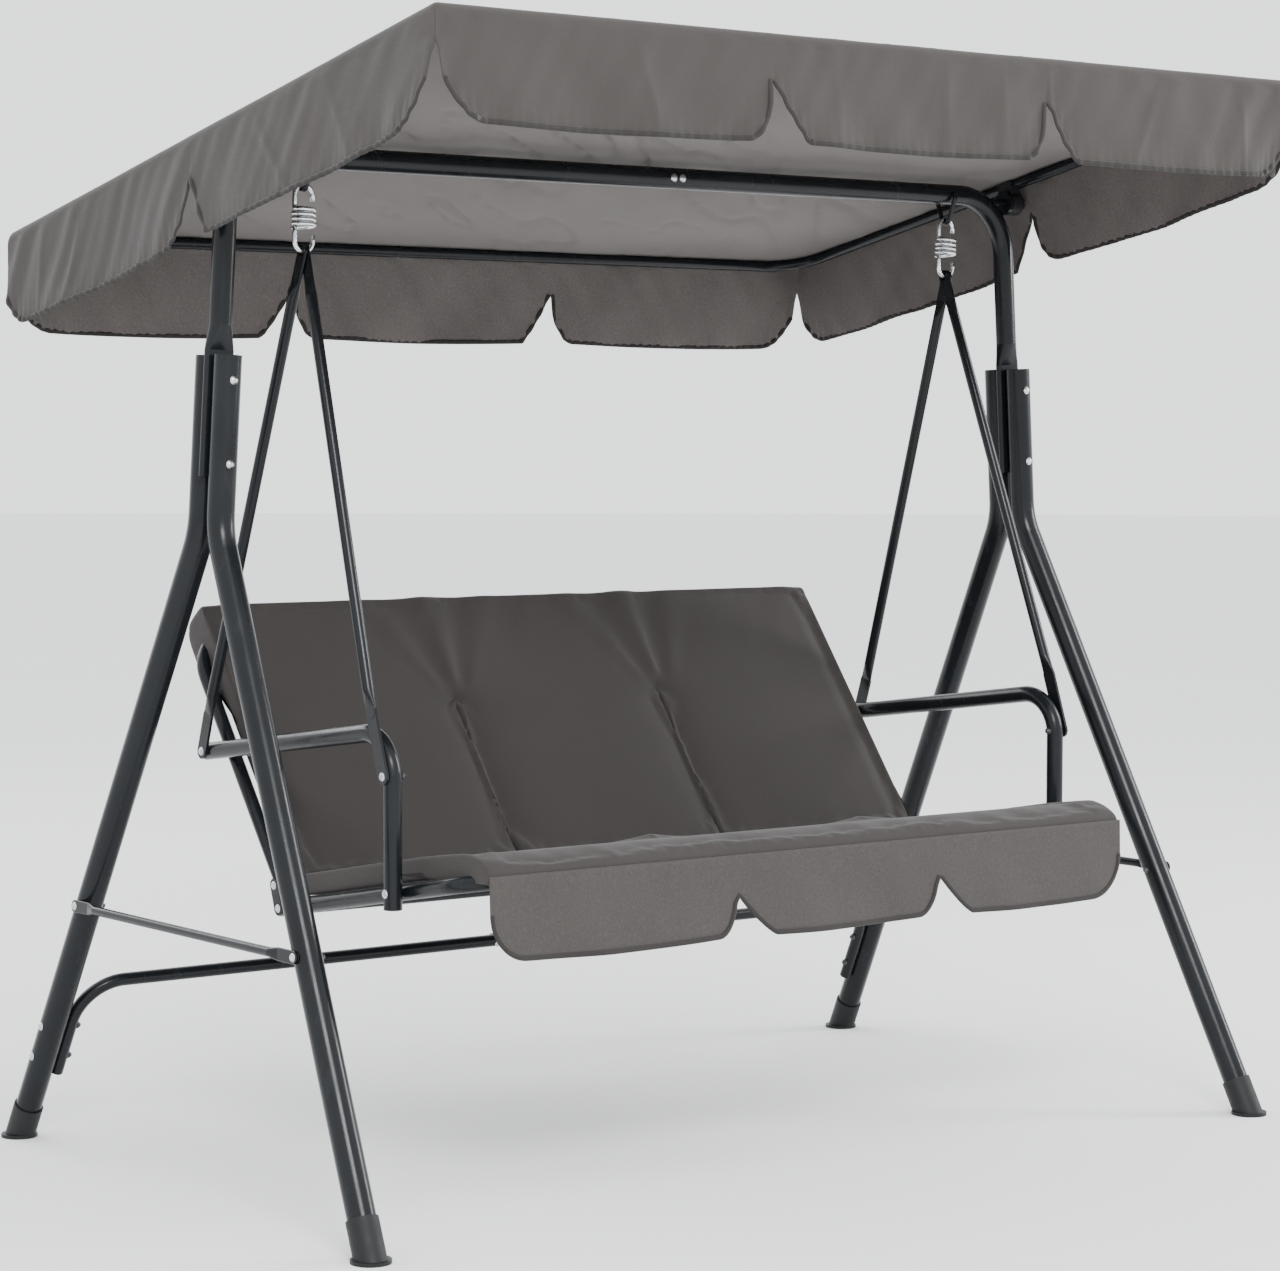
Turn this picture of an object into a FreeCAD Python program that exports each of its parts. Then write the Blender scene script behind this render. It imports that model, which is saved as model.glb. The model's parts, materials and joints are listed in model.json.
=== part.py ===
"""Three-seat garden swing with a tilting canopy, modelled as an assembly of separate pieces.

The swing stands on z = 0. X runs across the seat, -Y is the side a person sits facing, and the
hanging point of the seat is above y = 0. Left is -X and right is +X. All sizes are in
millimetres and degrees, and come from the Sizes sheet.
"""
import FreeCAD, Part
import math
import os
import Sketcher

V = FreeCAD.Vector
LEFT, RIGHT = -1, 1
FRONT, REAR = -1, 1
SIDES = ((LEFT, "left"), (RIGHT, "right"))
ENDS = ((FRONT, "front"), (REAR, "rear"))

DIMENSIONS = (
    # A-frames: each side's two legs lie in a plane that leans inwards by splay_angle.
    ("foot_half_width", 790, "x of the leg centre lines on the ground"),
    ("foot_half_depth", 480, "y of the leg centre lines on the ground"),
    ("splay_angle", 3.32, "inward lean of each A-frame"),
    ("knee_height", 900, "height of the bend in a leg"),
    ("leg_top", 1139, "top end of a leg"),
    ("leg_diameter", 38, "leg tube"),
    ("leg_bend", 120, "bend radius of a leg"),
    ("tube_wall", 1.2, "wall of the frame tubes"),
    ("leg_end_gap", 22, "from the ground to the lower end of a leg, along the leg"),
    ("cap_diameter", 43, "cup of a foot cap"),
    ("cap_length", 56, "cup of a foot cap, along the leg"),
    ("flange_diameter", 53, "flange of a foot cap"),
    ("flange_thickness", 5, "flange of a foot cap"),
    # Top tubes: two L-shaped tubes make the bar; their lower ends are pressed flat.
    ("bar_height", 1410, "centre of the top bar"),
    ("bar_diameter", 32, "top tube"),
    ("bar_bend", 95, "bend radius of a top tube"),
    ("bar_joint", 20, "x of the joint between the top tubes"),
    ("neck_length", 75, "swaged neck inside the other top tube"),
    ("bar_bolt_inset", 18, "first joint bolt, from the joint"),
    ("bar_bolt_pitch", 16, "between the two joint bolts"),
    ("strip_width", 44, "pressed end of a top tube"),
    ("strip_thickness", 11, "pressed end of a top tube"),
    ("strip_bottom", 973, "lower end of a pressed end"),
    ("press_start", 1178, "where the top tube starts to flatten"),
    ("press_length", 34, "from round to flat"),
    ("upper_post_bolt", 1105, "height of the upper post bolt"),
    ("lower_post_bolt", 992, "height of the lower post bolt"),
    # Rear crossbar and side braces.
    ("crossbar_diameter", 19, "rear crossbar"),
    ("crossbar_bend", 70, "bend radius of the crossbar ends"),
    ("crossbar_height", 240, "height of the crossbar"),
    ("crossbar_end", 102, "lower end of the crossbar"),
    ("crossbar_neck", 50, "swaged neck at the crossbar joint"),
    ("upper_cross_bolt", 175, "height of the upper crossbar bolt"),
    ("lower_cross_bolt", 128, "height of the lower crossbar bolt"),
    ("brace_diameter", 13, "side brace"),
    ("brace_flat_width", 18, "flattened end of a side brace"),
    ("brace_height", 360, "height of the side braces"),
    # Fasteners.
    ("bolt_diameter", 6, "shank of every bolt"),
    ("head_diameter", 12, "domed bolt head"),
    ("head_height", 3.4, "domed bolt head"),
    ("nut_diameter", 11, "capped nut, across its corners"),
    ("nut_height", 6, "capped nut"),
    ("nut_cap_base", 8.8, "cap of a nut, across its base"),
    ("nut_cap_tip", 4.95, "cap of a nut, across its tip"),
    ("nut_bore_depth", 3.9, "bore of a capped nut"),
    ("shank_in_nut", 3.6, "end of a bolt inside its nut"),
    ("bolt_play", 0.2, "radial play of a bolt in its hole"),
    ("seat_gap", 0.1, "between pieces that are bolted or pushed together"),
    # Hooks and springs.
    ("hook_x", 590, "x of a hook"),
    ("hook_rod", 7, "rod of a hook"),
    ("hook_half_span", 24, "half of the top side of a hook"),
    ("hook_apex_drop", 60, "from the bar centre to the point where a hook's sides would meet"),
    ("hook_corner", 6, "upper corner radius of a hook"),
    ("hook_bottom", 9, "lower corner radius of a hook"),
    ("spring_wire", 6.5, "spring wire"),
    ("spring_radius", 14.25, "spring coils, to the wire's centre"),
    ("spring_pitch", 6.7, "between coils"),
    ("spring_turns", 4, "number of coils"),
    ("spring_length", 90.6, "between the centres of the two end loops' wire"),
    ("spring_tip", 8, "straight tip of an end loop"),
    ("link_gap", 0.2, "between a hook and the spring that hangs in it"),
    # Hanger arms and armrests.
    ("hanger_diameter", 16, "hanger arm"),
    ("hanger_flat_width", 22, "flattened end of a hanger arm"),
    ("flat_thickness", 4, "flattened end of a hanger arm or a side brace"),
    ("eye_flat_length", 38, "flattened top of a hanger arm, past its hole"),
    ("front_flat_length", 90, "flattened lower end of a front hanger arm, past its hole"),
    ("rear_flat_length", 54, "flattened lower end of a rear hanger arm, past its hole"),
    ("eye_radius", 5.5, "hole for the spring in a hanger arm"),
    ("hanger_front_y", -243, "lower front bolt of the hangers, and the armrest's upright"),
    ("hanger_front_z", 579, "lower front bolt of the hangers"),
    ("hanger_rear_y", 236, "lower rear bolt of the hangers"),
    ("hanger_rear_z", 577, "lower rear bolt of the hangers"),
    ("hanger_clearance", 0.3, "between a hanger arm and the armrest"),
    ("armrest_diameter", 25, "armrest tube"),
    ("armrest_bend", 60, "bend radius of the armrest"),
    ("armrest_rise", 7.5, "upward slope of the armrest towards the front"),
    ("armrest_tail", 12, "armrest behind its rear bolt"),
    ("armrest_foot", 22, "armrest below its lower bolt"),
    # Seat frame: a U-shaped tube in a plane that slopes down to the rear.
    ("rail_half_width", 580, "x of the seat rails and the sides of the back frame"),
    ("rail_diameter", 22, "seat tube"),
    ("rail_wall", 1.1, "wall of the seat and back tubes"),
    ("seat_slope", 10.2, "slope of the seat"),
    ("seat_height", 379, "centre of the seat tube at y = 0"),
    ("seat_front", 402, "from y = 0 to the front tube, along the slope"),
    ("seat_rear", 86, "from y = 0 to the rear end of a rail, along the slope"),
    ("seat_bend", 60, "bend radius of the seat frame"),
    ("rear_tube_inset", 40, "from a rail's rear end to the rear cross tube"),
    ("bracket_bolt_inset", 16, "from a rail's rear end to the bracket bolt"),
    # Back frame: an upside-down U that leans back.
    ("back_recline", 37, "back frame, from upright"),
    ("back_bolt_y", 80, "bolt at the foot of the back frame"),
    ("back_bolt_z", 398, "bolt at the foot of the back frame"),
    ("back_diameter", 20, "back tube"),
    ("back_length", 430, "from the foot bolt to the top tube"),
    ("back_tail", 13, "back tube below its foot bolt"),
    ("back_bend", 80, "bend radius of the back frame"),
    ("bracket_width", 20, "plate between the back frame and a rail"),
    ("bracket_thickness", 3, "plate between the back frame and a rail"),
    # Soft goods of the seat.
    ("soft_gap", 0.3, "between a soft piece and what it lies on"),
    ("sling_thickness", 2, "sling cloth"),
    ("cushion_half_width", 569, "both cushions"),
    ("seat_cushion_thickness", 36, "seat cushion"),
    ("cushion_roll", 13, "seat cushion in front of the front tube"),
    ("roll_lip", 8, "front roll, below the centre of the front tube"),
    ("roll_chin", 4, "front roll, set back at its lower edge"),
    ("roll_brow", 30, "front roll, where it starts to curve back, above the tube's centre"),
    ("roll_brow_inset", 12, "front roll, set back where it starts to curve"),
    ("roll_crown_inset", 50, "front roll, set back at its crown"),
    ("roll_crown_drop", 4, "front roll's crown below the cushion's top"),
    ("roll_depth", 150, "front roll, to where the top is flat"),
    ("cushion_tail", 14, "seat cushion behind the rear cross tube"),
    ("tail_inset", 6, "seat cushion, rounding of its rear edge along the seat"),
    ("tail_drop", 10, "seat cushion, rounding of its rear edge downwards"),
    ("back_cushion_thickness", 39, "back cushion"),
    ("back_cap", 15, "back cushion above the top tube"),
    ("back_foot", 4, "back cushion below the foot bolt"),
    ("back_sling_foot", 20, "back sling's lower edge above the foot bolt"),
    ("crest_inset", 15, "back cushion, rounding of its top edge up the back"),
    ("crest_drop", 12, "back cushion, rounding of its top edge towards the back"),
    ("flap_rounding", 10, "back cushion, rounding of its top rear edge"),
    ("back_flap", 70, "back cushion behind the top tube, downwards"),
    ("flap_thickness", 12, "back cushion behind the top tube"),
    ("skirt_top", 460, "upper edge of the cushion's skirt"),
    ("skirt_depth", 118, "cushion's skirt, from top to bottom"),
    ("skirt_thickness", 2.5, "skirts and canopy cloth"),
    # Canopy: a sloping frame that turns about an axis through the shoulders of the top bar.
    ("tilt_axis_drop", 8, "from the top bar's centre down to the canopy's axis"),
    ("canopy_tilt", 11.35, "slope of the canopy, down to the rear"),
    ("canopy_rise", 28, "from the axis to the canopy bars"),
    ("bar_in_clamp", 13.7, "from a clamp's inner face to the side bar it holds"),
    ("canopy_half_depth", 561, "from the canopy's middle to its front bar"),
    ("canopy_bar_diameter", 18, "canopy bars"),
    ("canopy_bend", 70, "corner tubes of the canopy"),
    ("corner_leg", 120, "corner tubes, from the corner to each end"),
    ("valance_offset", 12, "from a canopy bar's outer side to the valance"),
    ("valance_depth", 150, "canopy valances, from top to bottom"),
    ("notch_depth", 60, "notches between the scallops of a skirt"),
    ("notch_half_width", 24, "notches, at the skirt's lower edge"),
    ("scallop_corner", 34, "cut corners of a skirt"),
    # Tilt hubs.
    ("stub_diameter", 12, "stub from the top tube to the hub"),
    ("axle_diameter", 8, "threaded end of the stub"),
    ("hub_diameter", 38, "toothed disc and clamp"),
    ("hub_reach", 3.3, "from the line of the post out to the toothed disc"),
    ("stub_length", 41.6, "stub inside the toothed disc"),
    ("saddle_width", 30.4, "saddle of a clamp round its bar"),
    ("disc_thickness", 7, "toothed disc"),
    ("clamp_thickness", 20, "clamp, along x"),
    ("hub_gap", 0.3, "between the parts of a hub"),
    ("bar_fit", 0.15, "between the clamp and the bar, and the cap and the leg"),
    ("axle_fit", 0.05, "radial clearance of the clamp and the knob on the axle"),
    ("knob_diameter", 24, "hand knob"),
    ("knob_thickness", 9, "hand knob"),
    ("axle_in_knob", 6.3, "end of the axle inside its knob"),
    ("grip_circle", 26.88, "circle of the knob's finger grooves"),
    ("grip_diameter", 6, "finger grooves of the knob"),
)

doc = FreeCAD.newDocument("garden_swing")
sheet = doc.addObject("Spreadsheet::Sheet", "Sizes")
for row, (alias, amount, meaning) in enumerate(DIMENSIONS, start=1):
    sheet.set(f"A{row}", meaning)
    sheet.set(f"B{row}", str(amount))
    sheet.setAlias(f"B{row}", alias)
doc.recompute()
parts = {}


def size(alias):
    return float(sheet.get(alias))


def keep(label, thing):
    """Files an object of the document as the sub-part with that name."""
    thing.Label = label
    parts[label] = thing
    return thing


def feature(label, shape, place=FreeCAD.Placement()):
    """A sub-part whose shape is made by Part's own functions."""
    thing = doc.addObject("Part::Feature", label)
    thing.Shape = shape
    thing.Placement = place
    return keep(label, thing)


def frame_at(origin, along, normal):
    """A placement whose local X is along and whose local Z is as near normal as it can be."""
    x_axis = V(along).normalize()
    y_axis = V(normal).cross(x_axis).normalize()
    z_axis = x_axis.cross(y_axis)
    return FreeCAD.Placement(FreeCAD.Matrix(
        x_axis.x, y_axis.x, z_axis.x, origin.x,
        x_axis.y, y_axis.y, z_axis.y, origin.y,
        x_axis.z, y_axis.z, z_axis.z, origin.z,
        0, 0, 0, 1))


# ---------------------------------------------------------------- tubes made by sweeping a ring

def rounded_path(corners, radii):
    """Line and arc geometry through the corners, each inner corner rounded to its radius."""
    run = []
    start = corners[0]
    for before, corner, after, radius in zip(corners, corners[1:], corners[2:], radii):
        back = (before - corner).normalize()
        ahead = (after - corner).normalize()
        half_angle = back.getAngle(ahead) / 2
        reach = radius / math.tan(half_angle)
        middle = corner + (back + ahead).normalize() * (radius / math.sin(half_angle) - radius)
        run.append(Part.LineSegment(start, corner + back * reach))
        run.append(Part.Arc(corner + back * reach, middle, corner + ahead * reach))
        start = corner + ahead * reach
    run.append(Part.LineSegment(start, corners[-1]))
    return run


def origin_plane(body, role):
    return next(item for item in body.Origin.OriginFeatures if item.Role == role)


def add_circle(sketch, radius_expression):
    """A circle about the sketch's origin, its radius bound to the sheet."""
    index = sketch.addGeometry(Part.Circle(V(0, 0, 0), V(0, 0, 1), 10))
    sketch.addConstraint(Sketcher.Constraint("Coincident", index, 3, -1, 1))
    radius = sketch.addConstraint(Sketcher.Constraint("Radius", index, 10))
    sketch.setExpression(f"Constraints[{radius}]", radius_expression)


def tube(label, plane, corners, radii, diameter, wall=None):
    """A body: a ring, or a disc where there is no wall, swept along a path in an origin plane."""
    body = doc.addObject("PartDesign::Body", label)
    path = body.newObject("Sketcher::SketchObject", label + "_path")
    path.AttachmentSupport = [(origin_plane(body, plane), "")]
    path.MapMode = "FlatFace"
    for piece in rounded_path(corners, radii):
        path.addGeometry(piece)
    doc.recompute()
    profile = body.newObject("Sketcher::SketchObject", label + "_profile")
    profile.AttachmentSupport = [(path, "Edge1"), (path, "Vertex1")]
    profile.MapMode = "NormalToEdge"
    add_circle(profile, f"Sizes.{diameter} / 2")
    if wall:
        add_circle(profile, f"Sizes.{diameter} / 2 - Sizes.{wall}")
    doc.recompute()
    pipe = body.newObject("PartDesign::AdditivePipe", label + "_pipe")
    pipe.Profile = (profile, [])
    pipe.Spine = (path, [f"Edge{number + 1}" for number in range(len(path.Geometry))])
    doc.recompute()
    return keep(label, body)


def round_feature(body, kind, name, start, direction, length, radius):
    """Adds or cuts a cylinder; kind is AdditiveCylinder or SubtractiveCylinder."""
    cylinder = body.newObject("PartDesign::" + kind, f"{body.Name}_{name}")
    cylinder.setExpression("Radius", radius)
    cylinder.Height = length
    cylinder.Placement = FreeCAD.Placement(start, FreeCAD.Rotation(V(0, 0, 1), direction))
    return cylinder


BOLT_HOLE = "Sizes.bolt_diameter / 2 + Sizes.bolt_play"


def drill(body, middle, direction, reach):
    """A bolt hole through a body, reaching that far to each side of its middle."""
    unit = V(direction).normalize()
    round_feature(body, "SubtractiveCylinder", "bolt_hole", middle - unit * reach, unit, 2 * reach,
                  BOLT_HOLE)


def add_neck(body, start, direction, diameter, length):
    """A swaged neck that slides into the next tube: a shoulder, then a thinner ring."""
    unit = V(direction).normalize()
    shoulder = 2 * size("tube_wall")
    outer = f"Sizes.{diameter} / 2 - Sizes.tube_wall - Sizes.seat_gap"
    round_feature(body, "AdditiveCylinder", "shoulder", start - unit * shoulder, unit, shoulder,
                  f"Sizes.{diameter} / 2")
    round_feature(body, "AdditiveCylinder", "neck", start, unit, length, outer)
    round_feature(body, "SubtractiveCylinder", "neck_bore", start - unit * 2 * shoulder, unit,
                  length + 4 * shoulder, outer + " - Sizes.tube_wall")


# ------------------------------------------------------------------- tubes with flattened ends

def squashed_outline(along, width, thickness):
    """A closed outline across x: four arcs of a circle, or a slot where width > thickness."""
    if width - thickness < 1e-6:
        half = width / 2
        corner = half * math.sqrt(0.5)
        stops = (V(along, -corner, corner), V(along, corner, corner),
                 V(along, corner, -corner), V(along, -corner, -corner))
        tops = (V(along, 0, half), V(along, half, 0), V(along, 0, -half), V(along, -half, 0))
        arcs = [Part.Arc(stops[i], tops[i], stops[(i + 1) % 4]) for i in range(4)]
        return Part.Wire([arc.toShape() for arc in arcs])
    flat = (width - thickness) / 2
    half = thickness / 2
    stops = (V(along, -flat, half), V(along, flat, half), V(along, flat, -half), V(along, -flat, -half))
    sides = (Part.LineSegment(stops[0], stops[1]),
             Part.Arc(stops[1], V(along, width / 2, 0), stops[2]),
             Part.LineSegment(stops[2], stops[3]),
             Part.Arc(stops[3], V(along, -width / 2, 0), stops[0]))
    return Part.Wire([side.toShape() for side in sides])


def squashed_tube(stations, wall):
    """A hollow tube along local X through (distance, width, thickness) stations, open at its ends."""
    outer = Part.makeLoft([squashed_outline(*station) for station in stations], True, True)
    bore_stations = [(x, width - 2 * wall, thickness - 2 * wall) for x, width, thickness in stations]
    first, last = bore_stations[0], bore_stations[-1]
    bore_stations = [(first[0] - 1, *first[1:])] + bore_stations + [(last[0] + 1, *last[1:])]
    bore = Part.makeLoft([squashed_outline(*station) for station in bore_stations], True, True)
    return outer.cut(bore)


def slot_prism(start, end, width, height):
    """A flat bar with round ends along local X, from start to end between the round ends' centres."""
    half = width / 2
    sides = (Part.LineSegment(V(start, half, 0), V(end, half, 0)),
             Part.Arc(V(end, half, 0), V(end + half, 0, 0), V(end, -half, 0)),
             Part.LineSegment(V(end, -half, 0), V(start, -half, 0)),
             Part.Arc(V(start, -half, 0), V(start - half, 0, 0), V(start, half, 0)))
    face = Part.Face(Part.Wire([side.toShape() for side in sides]))
    face.translate(V(0, 0, -height / 2))
    return face.extrude(V(0, 0, height))


def cross_hole(x, radius, height):
    return Part.makeCylinder(radius, height, V(x, 0, -height / 2))


def flat_ended_rod(length, diameter, flat_width, flat_lengths, hole_radii):
    """A tube with both ends pressed flat and rounded; a hole radius of 0 leaves that end whole."""
    flat = size("flat_thickness")
    press = 1.6 * diameter
    half = flat_width / 2
    near, far = flat_lengths[0], length - flat_lengths[1]
    stations = [(-half, flat_width, flat), (near, flat_width, flat),
                (near + press, diameter, diameter), (far - press, diameter, diameter),
                (far, flat_width, flat), (length + half, flat_width, flat)]
    rod = squashed_tube(stations, size("tube_wall"))
    rod = rod.common(slot_prism(0, length, flat_width, 2 * diameter))
    for x, radius in zip((0, length), hole_radii):
        if radius:
            rod = rod.cut(cross_hole(x, radius, 2 * diameter))
    return rod


# -------------------------------------------------------------------------------- side frames

def side_frame(side):
    """The leaning plane of one A-frame: local X is across it, local Z runs up the frame."""
    return FreeCAD.Placement(V(side * size("foot_half_width"), 0, 0),
                             FreeCAD.Rotation(V(0, 1, 0), -side * size("splay_angle")))


LEG_OFFSET = size("strip_thickness") / 2 + size("leg_diameter") / 2 + size("seat_gap")
LEG_SLOPE = (size("foot_half_depth") - LEG_OFFSET) / size("knee_height")
BOLT_HOLE_RADIUS = size("bolt_diameter") / 2 + size("bolt_play")
FLAT_OFFSET = size("leg_diameter") / 2 + size("flat_thickness") / 2 + size("seat_gap")
CROSSBAR_OFFSET = (size("leg_diameter") + size("crossbar_diameter")) / 2 + size("seat_gap")
POST_BOLTS = (size("upper_post_bolt"), size("lower_post_bolt"))
CROSS_BOLTS = (size("upper_cross_bolt"), size("lower_cross_bolt"))


def leg_point(end, height, across=0):
    """A point of a leg's slanted centre line in its side frame."""
    return V(across, end * (size("foot_half_depth") - LEG_SLOPE * height), height)


def make_leg(side, side_name, end, end_name):
    foot = V(end * size("foot_half_depth"), 0, 0)
    knee = V(end * LEG_OFFSET, size("knee_height"), 0)
    start = foot + (knee - foot).normalize() * size("leg_end_gap")
    top = V(end * LEG_OFFSET, size("leg_top"), 0)
    leg = tube(f"leg_{end_name}_{side_name}", "YZ_Plane", [start, knee, top], [size("leg_bend")],
               "leg_diameter", "tube_wall")
    for height in POST_BOLTS:
        drill(leg, V(0, end * LEG_OFFSET, height), V(0, 1, 0), size("leg_diameter"))
    heights = [size("brace_height")]
    if end == REAR:
        heights += CROSS_BOLTS
    for height in heights:
        drill(leg, leg_point(end, height), V(1, 0, 0), size("leg_diameter"))
    leg.Placement = side_frame(side)


def make_foot_cap(side, side_name, end, end_name):
    """A flat flange on the ground under a leaning cup that holds the leg's end."""
    label = f"foot_cap_{end_name}_{side_name}"
    ground = V(side * size("foot_half_width"), end * size("foot_half_depth"), 0)
    leg_line = leg_point(end, size("bar_height")) - leg_point(end, 0)
    up_the_leg = side_frame(side).Rotation.multVec(leg_line).normalize()
    lean = FreeCAD.Rotation(V(0, 0, 1), up_the_leg)
    sunk = size("cap_length")

    flange = doc.addObject("Part::Cylinder", label + "_flange")
    flange.setExpression("Radius", "Sizes.flange_diameter / 2")
    flange.setExpression("Height", "Sizes.flange_thickness")
    flange.Placement = FreeCAD.Placement(ground, FreeCAD.Rotation())
    cup = doc.addObject("Part::Cylinder", label + "_cup")
    cup.setExpression("Radius", "Sizes.cap_diameter / 2")
    cup.setExpression("Height", "2 * Sizes.cap_length")
    cup.Placement = FreeCAD.Placement(ground - up_the_leg * sunk, lean)
    above = doc.addObject("Part::Box", label + "_above_ground")
    above.setExpression("Length", "4 * Sizes.cap_length")
    above.setExpression("Width", "4 * Sizes.cap_length")
    above.setExpression("Height", "2 * Sizes.cap_length")
    above.Placement = FreeCAD.Placement(ground - V(2 * sunk, 2 * sunk, 0), FreeCAD.Rotation())
    socket = doc.addObject("Part::Cylinder", label + "_socket")
    socket.setExpression("Radius", "Sizes.leg_diameter / 2 + Sizes.bar_fit")
    socket.setExpression("Height", "2 * Sizes.cap_length")
    socket.Placement = FreeCAD.Placement(ground + up_the_leg * size("leg_end_gap"), lean)

    whole = doc.addObject("Part::Fuse", label + "_whole")
    whole.Base = flange
    whole.Tool = cup
    trimmed = doc.addObject("Part::Common", label + "_trimmed")
    trimmed.Base = whole
    trimmed.Tool = above
    cap = doc.addObject("Part::Cut", label)
    cap.Base = trimmed
    cap.Tool = socket
    keep(label, cap)


def make_side_brace(side, side_name):
    """A level rod outside the two legs, pressed flat where it is bolted to them."""
    start = leg_point(FRONT, size("brace_height"), side * FLAT_OFFSET)
    length = 2 * abs(start.y)
    rod = flat_ended_rod(length, size("brace_diameter"), size("brace_flat_width"),
                         [size("leg_diameter")] * 2, [BOLT_HOLE_RADIUS] * 2)
    place = frame_at(start, V(0, 1, 0), V(1, 0, 0))
    feature(f"side_brace_{side_name}", rod, side_frame(side).multiply(place))


def crossbar_line(side):
    """The corner and the lower end of a crossbar half, beside the rear leg's inner side."""
    place = side_frame(side)
    corner = place.multVec(leg_point(REAR, size("crossbar_height"), -side * CROSSBAR_OFFSET))
    lower = place.multVec(leg_point(REAR, size("crossbar_end"), -side * CROSSBAR_OFFSET))
    return corner, lower


def make_crossbar(side, side_name):
    corner, lower = crossbar_line(side)
    down = V(0, lower.y - corner.y, lower.z - corner.z)
    place = frame_at(V(0, corner.y, corner.z), V(1, 0, 0), V(0, down.z, -down.y))
    local = [place.inverse().multVec(point) for point in (V(0, corner.y, corner.z), corner, lower)]
    local[0].x = side * size("seat_gap")
    bar = tube(f"rear_crossbar_{side_name}", "XY_Plane", local, [size("crossbar_bend")],
               "crossbar_diameter", "tube_wall")
    if side == RIGHT:
        add_neck(bar, local[0], V(-1, 0, 0), "crossbar_diameter", size("crossbar_neck"))
    drill(bar, V(-size("crossbar_neck") / 2, 0, 0), V(0, 0, 1), size("crossbar_diameter"))
    across = place.inverse().Rotation.multVec(side_frame(side).Rotation.multVec(V(1, 0, 0)))
    for height in CROSS_BOLTS:
        point = side_frame(side).multVec(leg_point(REAR, height, -side * CROSSBAR_OFFSET))
        drill(bar, place.inverse().multVec(point), across, size("crossbar_diameter"))
    bar.Placement = place


# ---------------------------------------------------------------------------------- top tubes

def post_point(side, height):
    """A point of the post's centre line, which carries on the lean of the A-frame."""
    return V(side * (size("foot_half_width") - height * math.tan(math.radians(size("splay_angle")))),
             0, height)


TILT_AXIS = size("bar_height") - size("tilt_axis_drop")
HUB_X = post_point(RIGHT, TILT_AXIS).x + size("hub_reach")
CLAMP_X = HUB_X + size("disc_thickness") + size("hub_gap")
KNOB_X = CLAMP_X + size("clamp_thickness") + size("hub_gap")
CANOPY_BAR_X = CLAMP_X + size("bar_in_clamp")
BAR_BOLTS = [size("bar_joint") + size("bar_bolt_inset") + size("bar_bolt_pitch") * i for i in range(2)]


def make_top_tube(side, side_name):
    label = f"top_tube_{side_name}"
    joint = size("bar_joint") + side * size("seat_gap")
    bend = post_point(side, size("bar_height"))
    press = post_point(side, size("press_start"))
    corners = [V(joint, size("bar_height"), 0), V(bend.x, bend.z, 0), V(press.x, press.z, 0)]
    body = tube(label + "_bend", "XZ_Plane", corners, [size("bar_bend")], "bar_diameter", "tube_wall")
    del parts[label + "_bend"]
    start = V(joint, 0, size("bar_height"))
    if side == LEFT:
        add_neck(body, start, V(1, 0, 0), "bar_diameter", size("neck_length"))
    for x in BAR_BOLTS:
        drill(body, V(x, 0, size("bar_height")), V(0, 1, 0), size("bar_diameter"))
    hook_hole = "Sizes.hook_rod / 2 + Sizes.bolt_play"
    reach = size("bar_diameter")
    round_feature(body, "SubtractiveCylinder", "hook_hole",
                  V(side * size("hook_x"), -reach, size("bar_height")), V(0, 1, 0), 2 * reach, hook_hole)
    stub_start = V(side * (HUB_X - 2 * reach), 0, TILT_AXIS)
    round_feature(body, "SubtractiveCylinder", "stub_hole", stub_start, V(side, 0, 0), 2 * reach,
                  "Sizes.stub_diameter / 2 + Sizes.bar_fit")

    down = (post_point(side, 0) - post_point(side, TILT_AXIS)).normalize()
    flat_end = (press - post_point(side, size("strip_bottom"))).Length
    stations = [(0, size("bar_diameter"), size("bar_diameter")),
                (size("press_length"), size("strip_width"), size("strip_thickness")),
                (flat_end, size("strip_width"), size("strip_thickness"))]
    strip = squashed_tube(stations, size("tube_wall"))
    for height in POST_BOLTS:
        along = (press - side_frame(side).multVec(V(0, 0, height))).Length
        strip = strip.cut(cross_hole(along, BOLT_HOLE_RADIUS, 2 * size("strip_thickness")))
    pressed = doc.addObject("Part::Feature", label + "_pressed_end")
    pressed.Shape = strip
    pressed.Placement = frame_at(press, down, V(0, 1, 0))
    fused = doc.addObject("Part::Fuse", label)
    fused.Base = body
    fused.Tool = pressed
    fused.Refine = True
    keep(label, fused)


# ---------------------------------------------------------------------------------- fasteners

def bolt(under_head, along, grip):
    """A domed bolt: its head lies before the point, its shank runs on through the grip and nut."""
    half = size("head_diameter") / 2
    rise = size("head_height")
    ball = (half * half + rise * rise) / (2 * rise)
    dome = Part.makeSphere(ball, V(0, 0, ball - rise))
    head = dome.common(Part.makeCylinder(half, rise, V(0, 0, -rise)))
    shank = Part.makeCylinder(size("bolt_diameter") / 2, grip + size("shank_in_nut"))
    whole = head.fuse(shank).removeSplitter()
    whole.Placement = FreeCAD.Placement(under_head, FreeCAD.Rotation(V(0, 0, 1), along))
    return whole


def capped_nut(start, along):
    """A hexagonal nut with a domed cap, which hides the bolt's end."""
    across = size("nut_diameter") / 2
    height = size("nut_height")
    ring = [V(across * math.cos(math.radians(60 * i)), across * math.sin(math.radians(60 * i)), 0)
            for i in range(7)]
    hexagon = Part.Face(Part.makePolygon(ring)).extrude(V(0, 0, height / 2))
    cap = Part.makeCone(size("nut_cap_base") / 2, size("nut_cap_tip") / 2, height / 2,
                        V(0, 0, height / 2))
    bore = Part.makeCylinder(size("bolt_diameter") / 2 + size("axle_fit"), size("nut_bore_depth"))
    whole = hexagon.fuse(cap).cut(bore)
    whole.Placement = FreeCAD.Placement(start, FreeCAD.Rotation(V(0, 0, 1), along))
    return whole


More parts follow.
